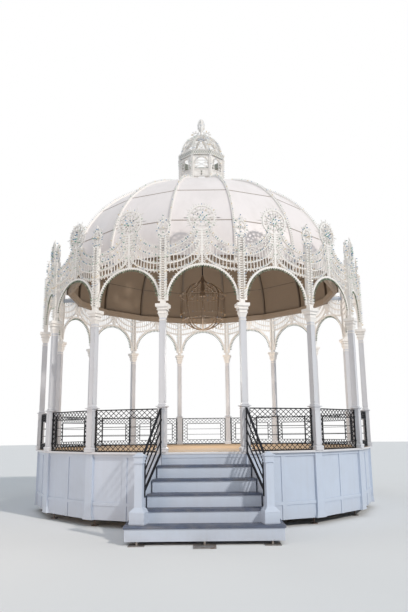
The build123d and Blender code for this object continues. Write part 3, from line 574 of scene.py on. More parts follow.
def brushed_skin_group():
    """Height of a brushed paint film: fine long ridges over a slight waviness."""
    inputs = (("Vector", "NodeSocketVector", None), ("Scale", "NodeSocketFloat", 60.0))
    group, given, made = new_group("Brushed skin", inputs, ("Height",))
    fine = noise(group, given["Vector"], given["Scale"], 3.0, 0.55)
    broad = noise(group, given["Vector"], 3.5, 2.0)
    link(group, sums(group, "MULTIPLY_ADD", broad, 2.5, fine), made["Height"])


def wood_grain_group():
    """Grain along X: bands stretched along the board, with knots bent round, as a value and a height."""
    inputs = (("Vector", "NodeSocketVector", None), ("Stretch", "NodeSocketVector", (0.7, 9.0, 9.0)))
    group, given, made = new_group("Wood grain", inputs, ("Value", "Height"))
    stretched = vectors(group, "MULTIPLY", given["Vector"], given["Stretch"])
    warp = noise(group, stretched, 1.3, 4.0)
    fine = noise(group, stretched, 7.0, 6.0, 0.7)
    link(group, sums(group, "MULTIPLY_ADD", warp, 0.55, sums(group, "MULTIPLY", fine, 0.45)), made["Value"])
    link(group, fine, made["Height"])


def new_material(name):
    """A new material's tree and Principled shader, and the object coordinates."""
    material = bpy.data.materials.new(name)
    material.use_nodes = True
    tree = material.node_tree
    return tree, tree.nodes["Principled BSDF"], node(tree, "ShaderNodeTexCoord").outputs["Object"]


def placed(tree, name, vector, **values):
    """A node group in a material, fed with a vector, its other inputs set by name."""
    made = node(tree, "ShaderNodeGroup", node_tree=bpy.data.node_groups[name])
    link(tree, vector, made.inputs["Vector"])
    for key, value in values.items():
        made.inputs[key.replace("_", " ").capitalize()].default_value = value
    return made


def bumped(tree, shader, height, strength, distance=0.002):
    """A height into the shader's normal."""
    bump = node(tree, "ShaderNodeBump", in_0=strength, in_1=distance)
    link(tree, height, bump.inputs["Height"])
    link(tree, bump.outputs[0], shader.inputs["Normal"])


def brushed(tree, shader, vector, scale, strength, distance=0.002):
    """A brushed skin on the shader's normal."""
    skin = placed(tree, "Brushed skin", vector, scale=scale)
    bumped(tree, shader, skin.outputs["Height"], strength, distance)


def weathered(tree, marks, colour, dirt, patches, streaks):
    """A colour with this much dust in patches and this much dirt in rain streaks."""
    dusty = mixed(tree, times(tree, marks.outputs["Patches"], patches), colour, dirt)
    return mixed(tree, times(tree, marks.outputs["Streaks"], streaks), dusty, dirt)


def shaded(colour, share, more=0.0):
    """A colour times a share, and a little more in each part, up to 1."""
    return tuple(min(1.0, share * part + more) for part in colour)


def paint_material(name, colour, dirt, streaks, patches, roughness, skin_scale=55.0, streak_width=9.0):
    """Paint with rain streaks and soft patches of dust, and a brushed skin."""
    tree, shader, vector = new_material(name)
    marks = placed(tree, "Rain marks", vector, streak_width=streak_width)
    paint = weathered(tree, marks, colour, dirt, patches, streaks)
    rough = ranged(tree, marks.outputs["Patches"], new=(roughness - 0.06, roughness + 0.18))
    fed(tree, shader, {"Base Color": paint, "Roughness": rough})
    brushed(tree, shader, vector, skin_scale, 0.12)


def splashed(tree, vector, low, high):
    """From 1 at a low height to 0 at a high one, broken up by noise: dirt thrown up from the ground."""
    split = node(tree, "ShaderNodeSeparateXYZ")
    link(tree, vector, split.inputs[0])
    level = ranged(tree, split.outputs[2], (low, high), (1.0, 0.0))
    return sums(tree, "MULTIPLY", level, noise(tree, vector, 3.0, 6.0, 0.65), use_clamp=True)


def skirt_material(finish):
    """The stage's paint, its bluish grey a painted shade, with dirt splashed up its foot."""
    tree, shader, vector = new_material("Stage paint with painted shade")
    marks = placed(tree, "Rain marks", vector, streak_width=14.0, streak_length=0.7)
    # The base colour carries painted shade: a bluish grey in place of white.
    streaky = weathered(tree, marks, finish.paint, finish.dirt, 0.1, 0.06)
    dirty = mixed(tree, times(tree, splashed(tree, vector, 0.05, 0.45), 0.4), streaky, finish.dirt)
    rough = ranged(tree, marks.outputs["Patches"], new=(0.42, 0.62))
    fed(tree, shader, {"Base Color": dirty, "Roughness": rough})
    brushed(tree, shader, vector, 55.0, 0.14)


def dome_material(finish):
    """White sheet outside, and a bare brown lining inside, told apart by which way the surface faces."""
    tree, shader, vector = new_material("Dome sheet")
    marks = placed(tree, "Rain marks", vector, streak_width=3.2, streak_length=0.5, patch_size=0.8)
    outer = weathered(tree, marks, finish.sheet, finish.dirt, 0.08, 0.1)
    grain = placed(tree, "Wood grain", vector, stretch=(1.2, 1.2, 1.2))
    inner = mixed(tree, grain.outputs["Value"], finish.lining, shaded(finish.lining, 0.8))
    above = vectors(tree, "ADD", vectors(tree, "MULTIPLY", vector, (1.0, 1.0, 0.0)), (0.0, 0.0, 1.0))
    normal = node(tree, "ShaderNodeNewGeometry").outputs["True Normal"]
    faces_out = sums(tree, "GREATER_THAN", vectors(tree, "DOT_PRODUCT", normal, above), 0.0)
    colour, rough = mixed(tree, faces_out, inner, outer), ranged(tree, faces_out, new=(0.75, 0.42))
    fed(tree, shader, {"Base Color": colour, "Roughness": rough})
    brushed(tree, shader, vector, 18.0, 0.18, 0.004)


def tread_material(finish):
    """Dark floor paint, scuffed paler in patches and along the grain."""
    tree, shader, vector = new_material("Tread paint")
    grain = placed(tree, "Wood grain", vector, stretch=(1.5, 14.0, 14.0))
    scuff = ranged(tree, grain.outputs["Value"], (0.5, 0.72))
    worn = mixed(tree, times(tree, scuff, 0.8), finish.tread, shaded(finish.tread, 2.1, 0.02))
    marks = placed(tree, "Rain marks", vector, patch_size=4.0)
    dusty = mixed(tree, times(tree, marks.outputs["Patches"], 0.3), worn, finish.dirt)
    fed(tree, shader, {"Base Color": dusty, "Roughness": 0.55})
    bumped(tree, shader, grain.outputs["Height"], 0.2)


def board_material(finish):
    """Worn boards: each board has its own shade, with grain along it and footworn patches."""
    tree, shader, vector = new_material("Stage boards")
    shade = node(tree, "ShaderNodeAttribute", attribute_name="number").outputs["Fac"]
    grain = placed(tree, "Wood grain", vector)
    tone = sums(tree, "MULTIPLY_ADD", shade, 0.45, times(tree, grain.outputs["Value"], 0.7))
    wood = mixed(tree, tone, shaded(finish.boards, 0.6), shaded(finish.boards, 1.7))
    marks = placed(tree, "Rain marks", vector, patch_size=1.1)
    dusty = mixed(tree, times(tree, marks.outputs["Patches"], 0.35), wood, finish.dirt)
    fed(tree, shader, {"Base Color": dusty, "Roughness": 0.68})
    bumped(tree, shader, grain.outputs["Height"], 0.3)


def metal_material(name, colour, rust, amount, roughness, metallic, gleam=0.5):
    """Metal with rust that spreads in rough patches, dull where it has rusted."""
    tree, shader, vector = new_material(name)
    spots = noise(tree, vector, 9.0, 8.0, 0.7)
    rusty = ranged(tree, spots, (0.62 - 0.3 * amount, 0.72 - 0.2 * amount))
    values = {
        "Base Color": mixed(tree, rusty, colour, rust),
        "Roughness": ranged(tree, rusty, new=(roughness, 0.85)),
        "Metallic": ranged(tree, rusty, new=(metallic, 0.0)),
        "Specular IOR Level": gleam,
    }
    fed(tree, shader, values)
    bumped(tree, shader, spots, 0.25)


def lamp_material(name, dusty_share, tints):
    """Small lamps, each tinted by its number: a tint holds from its place up to the next one's."""
    tree, shader, vector = new_material(name)
    ramp = node(tree, "ShaderNodeValToRGB")
    ramp.color_ramp.interpolation = "CONSTANT"
    elements = ramp.color_ramp.elements
    for i, (start, colour) in enumerate(tints):
        element = elements[i] if i < 2 else elements.new(start)
        element.position = start
        element.color = (*colour, 1.0)
    link(tree, node(tree, "ShaderNodeAttribute", attribute_name="number").outputs["Fac"], ramp.inputs[0])
    dust = times(tree, noise(tree, vector, 30.0, 3.0), dusty_share)
    colour = mixed(tree, dust, ramp.outputs[0], (0.7, 0.68, 0.64))
    fed(tree, shader, {"Base Color": colour, "Roughness": 0.22, "Coat Weight": 0.3})


def rib_material(plan, dome, finish):
    """Openwork paint outside the dome's panels, and the lining's brown inside them.

    A point is inside where its distance from the axis over the panels' inner radius, and its height above
    the curve's centre over their inner rise, give a vector shorter than one.
    """
    tree, shader, vector = new_material("Rib paint")
    across = dome.radius - dome.setback - dome.panel
    rise = dome.rise - dome.setback - dome.panel
    lowered = vectors(tree, "SUBTRACT", vector, (0.0, 0.0, plan.floor + dome.centre))
    shares = vectors(tree, "DIVIDE", lowered, (across, across, rise))
    above = vectors(tree, "MAXIMUM", shares, (-2.0, -2.0, 0.0))
    inside = sums(tree, "LESS_THAN", vectors(tree, "LENGTH", above), 1.0)
    marks = placed(tree, "Rain marks", vector, streak_width=20.0)
    white = mixed(tree, times(tree, marks.outputs["Streaks"], 0.1), finish.woodwork, finish.dirt)
    timber = mixed(tree, marks.outputs["Patches"], shaded(finish.lining, 0.55), shaded(finish.lining, 0.4))
    fed(tree, shader, {"Base Color": mixed(tree, inside, white, timber), "Roughness": 0.55})
    brushed(tree, shader, vector, 80.0, 0.12)


class BANDSTAND_OT_finishes(bpy.types.Operator):
    """Make the finishes and give each solid of the frame its own."""

    bl_idname = "bandstand.finishes"
    bl_label = "Finishes"

    def execute(self, context):
        finish = context.scene.bandstand_finishes
        dirt = finish.dirt
        rain_marks_group()
        brushed_skin_group()
        wood_grain_group()
        skirt_material(finish)
        dome_material(finish)
        tread_material(finish)
        board_material(finish)
        rib_material(context.scene.bandstand_plan, context.scene.bandstand_dome, finish)
        # Painted shade: a darker, cooler copy of the openwork white.
        paint_material("Column paint with painted shade", finish.columns, dirt, 0.08, 0.08, 0.4)
        paint_material("Openwork paint", finish.woodwork, dirt, 0.1, 0.1, 0.5, 80.0, 20.0)
        paint_material("Seam strip", finish.seam, dirt, 0.3, 0.4, 0.7)
        paint_material("Gilt paint", finish.gilt, dirt, 0.15, 0.4, 0.5)
        # The rim is the lining's brown made lighter: painted light against the shade under the dome.
        paint_material("Rim paint with painted light", shaded(finish.lining, 1.15), dirt, 0.2, 0.3, 0.7)
        paint_material("Lining seam", shaded(finish.lining, 0.3), dirt, 0.2, 0.3, 0.7)
        # Painted shade for the cornice's openings.
        paint_material("Lantern painted shade", finish.shade, dirt, 0.2, 0.4, 0.6)
        metal_material("Black iron", finish.iron, finish.rust, -0.1, 0.5, 0.0, 0.15)
        metal_material("Galvanised steel", finish.metal, finish.rust, 0.45, 0.45, 0.9)
        metal_material("Rusty feet", finish.metal, finish.rust, 0.85, 0.6, 0.8)
        opal, amber = (0.86, 0.85, 0.82), (0.78, 0.62, 0.38)
        few = ((0.0, opal), (0.82, amber), (0.88, (0.45, 0.58, 0.45)), (0.94, (0.42, 0.5, 0.62)))
        # Many of these lamps are dark blue: partly real lamp tints, partly painted shade for the blue shadow
        # spots along the swags.
        more = ((0.0, opal), (0.55, (0.12, 0.26, 0.44)), (0.78, amber), (0.86, (0.08, 0.26, 0.2)))
        heart = ((0.08, 0.3, 0.5), (0.8, 0.78, 0.74), (0.05, 0.36, 0.24), (0.05, 0.08, 0.14))
        green = ((0.11, 0.15, 0.085), (0.05, 0.085, 0.05), (0.25, 0.31, 0.22))
        dim = ((0.26, 0.19, 0.12), (0.34, 0.2, 0.08), (0.13, 0.17, 0.23), (0.42, 0.38, 0.32))
        for name, dusty_share, tints in (
            ("Lamp glass", 0.3, few),
            ("Mixed lamp glass with painted shade", 0.1, more),
            ("Heart lamp glass", 0.05, zip((0.0, 0.35, 0.7, 0.88), heart)),
            ("Green lamp glass", 0.04, zip((0.0, 0.45, 0.8), green)),
            ("Dim lamp glass", 0.1, zip((0.0, 0.6, 0.8, 0.92), dim)),
        ):
            lamp_material(name, dusty_share, tints)
        by_slot = {
            "white_paint": "Stage paint with painted shade",
            "light_woodwork": "Openwork paint",
            "dome_sheet": "Dome sheet",
            "tread_paint": "Tread paint",
            "deck_boards": "Stage boards",
            "black_iron": "Black iron",
            "galvanised": "Galvanised steel",
            "gilt_wood": "Gilt paint",
        }
        own = {
            "column_shafts": "Column paint with painted shade",
            # The capitals take the brighter openwork white: a painted lit copy of the shafts' paint.
            "capitals": "Openwork paint",
            "pedestals": "Column paint with painted shade",
            "screw_feet": "Rusty feet",
            # The rim beam carries painted light that lifts it out of the dome's shade.
            "rim_beam": "Rim paint with painted light",
            # The cornice carries painted shade behind its lattice.
            "lantern_cornice": "Lantern painted shade",
            "dome_ribs": "Rib paint",
        }
        for part in frame["record"]["subparts"]:
            solid = frame["nodes"][part["node"]]
            solid.data.materials.clear()
            name = own.get(part["node"], by_slot[part["material_slot"]])
            solid.data.materials.append(bpy.data.materials[name])
        return {"FINISHED"}


# Light friezes


def groups_of(context, *names):
    """The scene's groups of sizes that have these short names."""
    return [getattr(context.scene, "bandstand_" + name) for name in names]


def openwork(name, shape, angles):
    """A piece of white openwork, repeated at each angle about the plan's axis."""
    return piece(name, around(shape, angles), "Openwork paint")


def glass(name, shape, angles, material="Lamp glass"):
    """A piece made up of small lamps, repeated at each angle about the plan's axis."""
    return piece(name, around(shape, angles), material, smooth=True)


def upper_side(along):
    """Unit directions square to a line in the bay's plane, on its upper side where it runs to -X."""
    normal = points_at(along[:, 2], 0.0, -along[:, 0])
    return normal / np.linalg.norm(normal, axis=1)[:, None]


def square_to(along):
    """Directions square to a line in the plane of the axis and -Y, outward where it climbs."""
    return points_at(0.0, -along[:, 2], along[:, 1])


def rosette_middle(plan, sizes):
    """The middle of the front bay's rosette."""
    return np.array([0.0, -apothem(plan), plan.floor + sizes.rosette_centre])


def head_middle(plan, sizes):
    """The middle of an upright's head, on the -Y side, before it is turned to its corner."""
    return np.array([0.0, -plan.column_circle, plan.floor + sizes.upright_top + 0.205])


def feathers(plan, sizes, share):
    """Roots and tips of the middle post's feathers on the +X side, at these shares of its height.

    A tip lies 50 mm and 110 mm times the share to the power 0.7 across, and 35 mm above its root.
    """
    low = plan.floor + sizes.springing + sizes.arch_radius + sizes.arch_band
    high = plan.floor + sizes.rosette_centre - sizes.rosette_radius
    z = low + (high - low) * share
    y = -apothem(plan)
    return points_at(0.02, y, z), points_at(0.05 + 0.11 * share**0.7, y, z + 0.035)


def swag_bars(plan, sizes, number):
    """Short bars from a swag to the next one, at even steps along both."""
    near, _ = stepped(swag(plan, number, 8.0, 78.0, 90), sizes.tick_pitch)
    far, _ = evenly(swag(plan, number + 1, 8.0, 78.0, 90), len(near))
    return bars(near, far, sizes.tick, sizes.depth / 2.0)


class BANDSTAND_OT_swag_bars(bpy.types.Operator):
    """Short bars between the lower swags of every frieze, and a fringe under the lowest."""

    bl_idname = "bandstand.swag_bars"
    bl_label = "Bars between swags"

    def execute(self, context):
        plan, sizes = groups_of(context, "plan", "frieze")
        edge, _ = stepped(swag(plan, 0, 7.0, 36.0, 40), sizes.tick_pitch)
        fringe = bars(edge, edge - np.array([0.0, 0.0, 0.045]), sizes.tick, sizes.depth / 2.0)
        side = joined([swag_bars(plan, sizes, 0), swag_bars(plan, sizes, 1), fringe])
        openwork("swag_bars", mirrored(side), bay_angles(plan))
        return {"FINISHED"}


class BANDSTAND_OT_frieze_scrolls(bpy.types.Operator):
    """Small rings between the upper swags, and smaller ones along the topmost swag."""

    bl_idname = "bandstand.frieze_scrolls"
    bl_label = "Scrollwork"

    def execute(self, context):
        plan, sizes = groups_of(context, "plan", "frieze")
        low, _ = stepped(swag(plan, 2, 8.0, 80.0, 60), 1.5 * sizes.tick_pitch)
        high, _ = evenly(swag(plan, 3, 8.0, 80.0, 60), len(low))
        parts = []
        for start, end in zip(low, high):
            radius = min(sizes.curl_radius, 0.4 * float(np.linalg.norm(end - start)))
            parts.append(ring((start + end) / 2.0, radius, 1.2 * sizes.thread, sizes.depth / 2.0, 14))
        above, along = stepped(swag(plan, 3, 8.0, 66.0, 60), sizes.tick_pitch)
        for point, out in zip(above, upper_side(along)):
            parts.append(ring(point + 0.042 * out, 0.024, sizes.thread, sizes.depth / 3.0, 10))
        openwork("frieze_scrolls", mirrored(joined(parts)), bay_angles(plan))
        return {"FINISHED"}


class BANDSTAND_OT_middle_posts(bpy.types.Operator):
    """The feathered openwork that climbs the middle of each frieze to its rosette."""

    bl_idname = "bandstand.middle_posts"
    bl_label = "Middle posts"

    def execute(self, context):
        plan, sizes = groups_of(context, "plan", "frieze")
        roots, tips = feathers(plan, sizes, np.linspace(0.0, 1.0, 17))
        parts = [
            bars(roots, tips, sizes.thread, sizes.depth / 2.0),
            bars(tips[:-1], tips[1:], sizes.thread, sizes.depth / 2.5),
        ]
        for tip in tips[2::2]:
            parts.append(ring(tip + np.array([0.016, 0.0, 0.01]), 0.016, 0.006, sizes.depth / 3.0, 8))
        openwork("middle_post_feathers", mirrored(joined(parts)), bay_angles(plan))
        return {"FINISHED"}


class BANDSTAND_OT_rosettes(bpy.types.Operator):
    """Inner rings, petals and outer rays of the rosettes."""

    bl_idname = "bandstand.rosettes"
    bl_label = "Rosettes"

    def execute(self, context):
        plan, sizes = groups_of(context, "plan", "frieze")
        centre = rosette_middle(plan, sizes)
        r, thread, depth = sizes.rosette_radius, sizes.thread, sizes.depth
        parts = [ring(centre, 0.62 * r, 1.3 * thread, 0.6 * depth, 32)]
        for direction in spokes(12, 0.5):
            parts.append(ring(centre + direction * 0.79 * r, 0.145 * r, thread, depth / 2.0, 10))
        ray = spokes(24)
        reach = np.where(np.arange(24) % 2 == 0, 1.32, 1.14)[:, None] * r
        parts.append(bars(centre + ray * 0.96 * r, centre + ray * reach, thread, depth / 3.0))
        level = np.array([[1.0, 0.0, 0.0], [-1.0, 0.0, 0.0]])
        parts.append(bars(centre + level * r, centre + level * 1.46 * r, thread, depth / 3.0))
        openwork("rosette_petals", joined(parts), bay_angles(plan))
        return {"FINISHED"}


class BANDSTAND_OT_frieze_lamps(bpy.types.Operator):
    """Lamps along the arches, swags, middle posts and rosettes."""

    bl_idname = "bandstand.frieze_lamps"
    bl_label = "Frieze lamps"

    def execute(self, context):
        plan, sizes, lamp = groups_of(context, "plan", "frieze", "lamps")
        front = np.array([0.0, -sizes.depth / 2.0, 0.0])
        ahead = np.array([0.0, -1.0, 0.0])
        angles = bay_angles(plan)
        centre = np.array([0.0, -apothem(plan), plan.floor + sizes.springing])
        radius, rim = sizes.arch_radius, sizes.arch_radius + sizes.arch_band
        inner, _ = stepped(arc(centre, radius + 0.006, 4.0, 176.0, 200), 0.95 * lamp.pitch)
        teeth = lamps(inner + 0.4 * front, (centre - inner) / radius + 0.3 * ahead, lamp, 1.45)
        glass("arch_lamps", teeth, angles, "Green lamp glass")
        outer, _ = stepped(arc(centre, rim, 30.0, 150.0, 200), 1.25 * lamp.pitch)
        back = lamps(outer + 0.4 * front, (outer - centre) / rim + 0.5 * ahead, lamp, 0.8)
        rows = []
        for number in range(4):
            points, along = stepped(swag(plan, number, 7.0, 88.0, 120), lamp.pitch)
            rows.append(lamps(points + front, 0.75 * upper_side(along) + ahead, lamp))
        glass("swag_lamps", joined([mirrored(joined(rows[:2])), back]), angles)
        # The upper swags' lamps carry partly painted shade in their dark blue tints.
        glass("upper_swag_lamps", mirrored(joined(rows[2:])), angles, "Mixed lamp glass with painted shade")
        middle, r = rosette_middle(plan, sizes), sizes.rosette_radius
        spoke, face = spokes(32), spokes(18)
        edge = lamps(middle + spoke * r, spoke + 0.2 * ahead, lamp)
        inside = lamps(middle + face * 0.62 * r + front, face * 0.3 + ahead, lamp)
        heart = np.concatenate([face[::3] * 0.18, face[1::3] * 0.36])
        hub = lamps(middle + heart * r + front, heart + ahead, lamp, 1.1)
        glass("heart_lamps", hub, angles, "Heart lamp glass")
        _, tips = feathers(plan, sizes, np.linspace(0.05, 1.0, 16))
        feather = mirrored(lamps(tips + 0.4 * front, (1.0, -0.25, 0.25), lamp))
        glass("rosette_lamps", joined([edge, inside, feather]), angles)
        return {"FINISHED"}


class BANDSTAND_OT_upright_lamps(bpy.types.Operator):
    """Lamps up the front and sides of the uprights, and around their openwork heads."""

    bl_idname = "bandstand.upright_lamps"
    bl_label = "Upright lamps"

    def execute(self, context):
        plan, sizes, lamp = groups_of(context, "plan", "frieze", "lamps")
        z = np.linspace(plan.floor + sizes.upright_foot + 0.03, plan.floor + sizes.upright_top - 0.02, 22)
        face = -plan.column_circle - sizes.upright_depth / 2.0
        x = sizes.upright_width / 2.0
        rows = [lamps(points_at(s * (x - 0.014), face, z), (0, -1, 0.25), lamp) for s in (-1, 1)]
        rows += [lamps(points_at(s * x, face + 0.016, z + 0.03), (s, -0.3, 0.15), lamp) for s in (-1, 1)]
        glass("upright_lamps", joined(rows), corner_angles(plan))
        a = 2.0 * math.pi * np.arange(22) / 22
        middle = head_middle(plan, sizes)
        oval = middle + points_at(0.123 * np.cos(a), 0.0, 0.163 * np.sin(a))
        rim = lamps(oval, points_at(np.cos(a), -0.3, 0.8 * np.sin(a)), lamp)
        stem = middle + points_at(0.0, -0.016, np.linspace(-0.17, 0.26, 7))
        arm = middle + points_at(np.linspace(-0.09, 0.09, 5), -0.016, 0.0)
        dots = lamps(np.concatenate([stem, arm]), (0, -1, 0), lamp)
        foot = middle + points_at([-0.06, -0.03, 0.03, 0.06], 0.0, -0.19)
        feet = lamps(foot, points_at([-1.0, -0.5, 0.5, 1.0], -0.4, 0.6), lamp)
        # The heads' lamps carry partly painted shade in their dark blue tints.
        glass("upright_head_lamps", joined([rim, dots, feet]), corner_angles(plan), "Mixed lamp glass with painted shade")
        return {"FINISHED"}


class BANDSTAND_OT_head_scrolls(bpy.types.Operator):
    """Curled openwork inside and beside each upright's head."""

    bl_idname = "bandstand.head_scrolls"
    bl_label = "Scrolls of the heads"

    def execute(self, context):
        plan, sizes = groups_of(context, "plan", "frieze")
        middle = head_middle(plan, sizes)
        parts = []
        for dx, dz, radius in (
            (0.05, 0.065, 0.036),
            (0.05, -0.065, 0.036),
            (0.105, -0.165, 0.03),
            (0.1, 0.17, 0.026),
            (0.03, 0.2, 0.024),
        ):
            parts.append(ring(middle + np.array([dx, 0.0, dz]), radius, 0.009, 0.018, 12))
        openwork("upright_head_scrolls", mirrored(joined(parts)), corner_angles(plan))
        return {"FINISHED"}


# Dome


class BANDSTAND_OT_rib_lamps(bpy.types.Operator):
    """Lamps along the outer edge of each dome rib and on the arms to the uprights."""

    bl_idname = "bandstand.rib_lamps"
    bl_label = "Rib lamps"

    def execute(self, context):
        plan, dome, lamp = groups_of(context, "plan", "dome", "lamps")
        points, along = stepped(rib_curve(plan, dome, 0.0), lamp.pitch)
        y = np.linspace(-dome.radius - 0.03, -plan.column_circle + 0.06, 6)
        low, high = (corner.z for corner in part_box("dome_brackets"))
        rows = [lamps(points, square_to(along), lamp)]
        for height, up in ((high, 1.0), (low, -1.0)):
            rows.append(lamps(points_at(0.0, y, height), (0, 0, up), lamp))
        for side in (-1.0, 1.0):
            rows.append(lamps(points_at(0.03 * side, y, (low + high) / 2.0), (side, 0, 0), lamp))
        glass("rib_lamps", joined(rows), corner_angles(plan))
        return {"FINISHED"}


class BANDSTAND_OT_seams(bpy.types.Operator):
    """Narrow strips that cover the two level seams of the dome, outside and inside."""

    bl_idname = "bandstand.seams"
    bl_label = "Dome seams"

    def execute(self, context):
        plan, dome = groups_of(context, "plan", "dome")
        flat = math.cos(math.pi / plan.sides)
        for name, paint, setback, proud in (
            ("dome_seam_strips", "Seam strip", dome.setback, 0.002),
            ("lining_seam_strips", "Lining seam", dome.setback + dome.panel, -0.002),
        ):
            parts = []
            curve = rib_curve(plan, dome, setback, 2000)
            for row in ("dome_panels_low", "dome_panels_middle"):
                i = int(np.argmin(np.abs(curve[:, 2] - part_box(row)[1].z)))
                y, z = curve[i, 1] * flat, curve[i, 2]
                slope = (curve[i + 1] - curve[i - 1]) * np.array([1.0, flat, 1.0])
                slope /= np.linalg.norm(slope)
                normal = np.array([0.0, -slope[2], slope[1]])
                half = np.array([abs(y) * math.tan(math.pi / plan.sides) - 0.022, 0.0, 0.0])
                middle = np.array([0.0, y, z]) + normal * proud
                parts.append(bars([middle - half], [middle + half], dome.seam, 0.008, tuple(normal)))
            piece(name, around(joined(parts), bay_angles(plan)), paint)
        return {"FINISHED"}


# Lantern


def lantern_angles(dome):
    """Angles of the lantern's faces, and of its posts."""
    step = 360.0 / dome.lantern_sides
    return step * np.arange(dome.lantern_sides), step * (np.arange(dome.lantern_sides) + 0.5)


def cornice_sizes(plan, dome):
    """The cornice's distance to a side, half of a side, its foot and its top."""
    outer = -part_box("lantern_cornice")[0].y
    foot = plan.floor + dome.cornice_foot
    return outer, outer * math.tan(math.pi / dome.lantern_sides), foot, foot + dome.cornice_height


def lantern_arch(plan, y, count):
    """Points of the half circle over a lantern face's opening, 186 mm in radius, at this Y."""
    return arc((0.0, y, plan.floor + 7.46), 0.186, 0.0, 180.0, count)


def cupola_curve(plan, dome, count=80):
    """Points of a cupola rib's outer edge: a quarter ellipse from the cornice to the hub."""
    foot = plan.floor + dome.cornice_foot + dome.cornice_height
    a = np.linspace(0.0, math.radians(80.0), count)
    return points_at(0.0, -dome.cupola_radius * np.cos(a), foot + dome.cupola_rise * np.sin(a))


def cage_ends(plan, dome, posts):
    """Places on the two ribs beside the cupola's front side, where its level bars end."""
    rib = cupola_curve(plan, dome, 5)[:-1] * np.array([1.0, 0.985, 1.0])
    ends = []
    for angle in (posts[-1] - 360.0, posts[0]):
        c, s = math.cos(math.radians(angle)), math.sin(math.radians(angle))
        x, y = rib[:, 0], rib[:, 1]
        ends.append(points_at(c * x - s * y, s * x + c * y, rib[:, 2]))
    return ends


def leaf_edge(t):
    """Points of a finial leaf's edge for t from -1 at its foot to 1 at its tip.

    Across is 72 mm times one less t squared, and up is the middle's height plus 215 mm times t.
    """
    return points_at(0.072 * (1.0 - t**2), 0.0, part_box("finial")[1].z - 0.215 + 0.215 * t)


def volute_spokes(degrees):
    """The middle of the front volute, and directions from it at angles from outward to up."""
    b = np.radians(degrees)
    middle = np.array([0.0, -0.155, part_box("cupola_hub")[1].z + 0.075])
    return middle, points_at(0.0, -np.cos(b), np.sin(b))


class BANDSTAND_OT_lantern_trim(bpy.types.Operator):
    """Mouldings, crossed bars, panel beads and post rungs of the lantern."""

    bl_idname = "bandstand.lantern_trim"
    bl_label = "Lantern trim"

    def execute(self, context):
        plan, dome = groups_of(context, "plan", "dome")
        faces, posts = lantern_angles(dome)
        quarters = (0, 90, 180, 270)
        outer, half, foot, top = cornice_sizes(plan, dome)
        thick = 0.016
        lip = [(outer - 0.01, 0.0), (outer + 0.012, 0.0), (outer + 0.012, thick), (outer - 0.01, thick)]
        lips = [moved(moulding(lip, dome.lantern_sides), (0, 0, z)) for z in (foot, top - thick)]
        x = np.linspace(-half, half, 9)
        y = -outer - 0.003
        low, high = foot + thick, top - thick
        rising = bars(points_at(x[:-1], y, low), points_at(x[1:], y, high), 0.011, 0.012)
        falling = bars(points_at(x[:-1], y, high), points_at(x[1:], y, low), 0.011, 0.01)
        face_y = -dome.lantern_radius * math.cos(math.pi / dome.lantern_sides) - 0.016
        foot_z, top_z = plan.floor + dome.lantern_foot + 0.2, plan.floor + dome.lantern_foot + 0.375
        w = 0.185
        corners = points_at([-w, w, w, -w], face_y, [foot_z, foot_z, top_z, top_z])
        bead = bars(corners, np.roll(corners, -1, 0), 0.014, 0.012)
        cross = bars(corners[:2], corners[[2, 3]], 0.01, 0.01)
        arch = lantern_arch(plan, face_y, 17)
        hood = bars(arch[:-1], arch[1:], 0.016, 0.014)
        sill = boxes([[0, face_y, plan.floor + 7.3]], (0.4, 0.03, 0.016))
        face = around(joined([rising, falling, bead, cross, hood, sill]), faces)
        rung_z = np.linspace(plan.floor + dome.lantern_foot + 0.05, foot - 0.03, 16)
        rungs = boxes(points_at(0.0, -dome.lantern_radius - 0.036, rung_z), (0.05, 0.008, 0.014))
        edge = leaf_edge(np.linspace(-0.6, 0.6, 4))
        leaf = around(bars(edge * np.array([-1.0, 1.0, 1.0]), edge, 0.01, 0.008), (0, 90))
        beside = leaf_edge(np.array([-0.4, 0.1, 0.55])) + np.array([0.02, 0.0, 0.0])
        curls = [ring(point, 0.02, 0.009, 0.012, 10) for point in beside]
        volute, spoke = volute_spokes([15.0, 60.0, 105.0, 150.0])
        horns = bars(volute + 0.072 * spoke, volute + 0.12 * spoke, 0.012, 0.012, (1, 0, 0))
        left, right = cage_ends(plan, dome, posts)
        lattice = [
            bars(left, right, 0.012, 0.012),
            bars(left[:-1], right[1:], 0.008, 0.008),
            bars(right[:-1], left[1:], 0.008, 0.008),
        ]
        parts = [face, around(rungs, posts), leaf, around(joined(curls), quarters), around(horns, quarters)]
        shape = joined(lips + parts + [around(joined(lattice), faces)])
        piece("lantern_trim", shape, "Openwork paint")
        return {"FINISHED"}


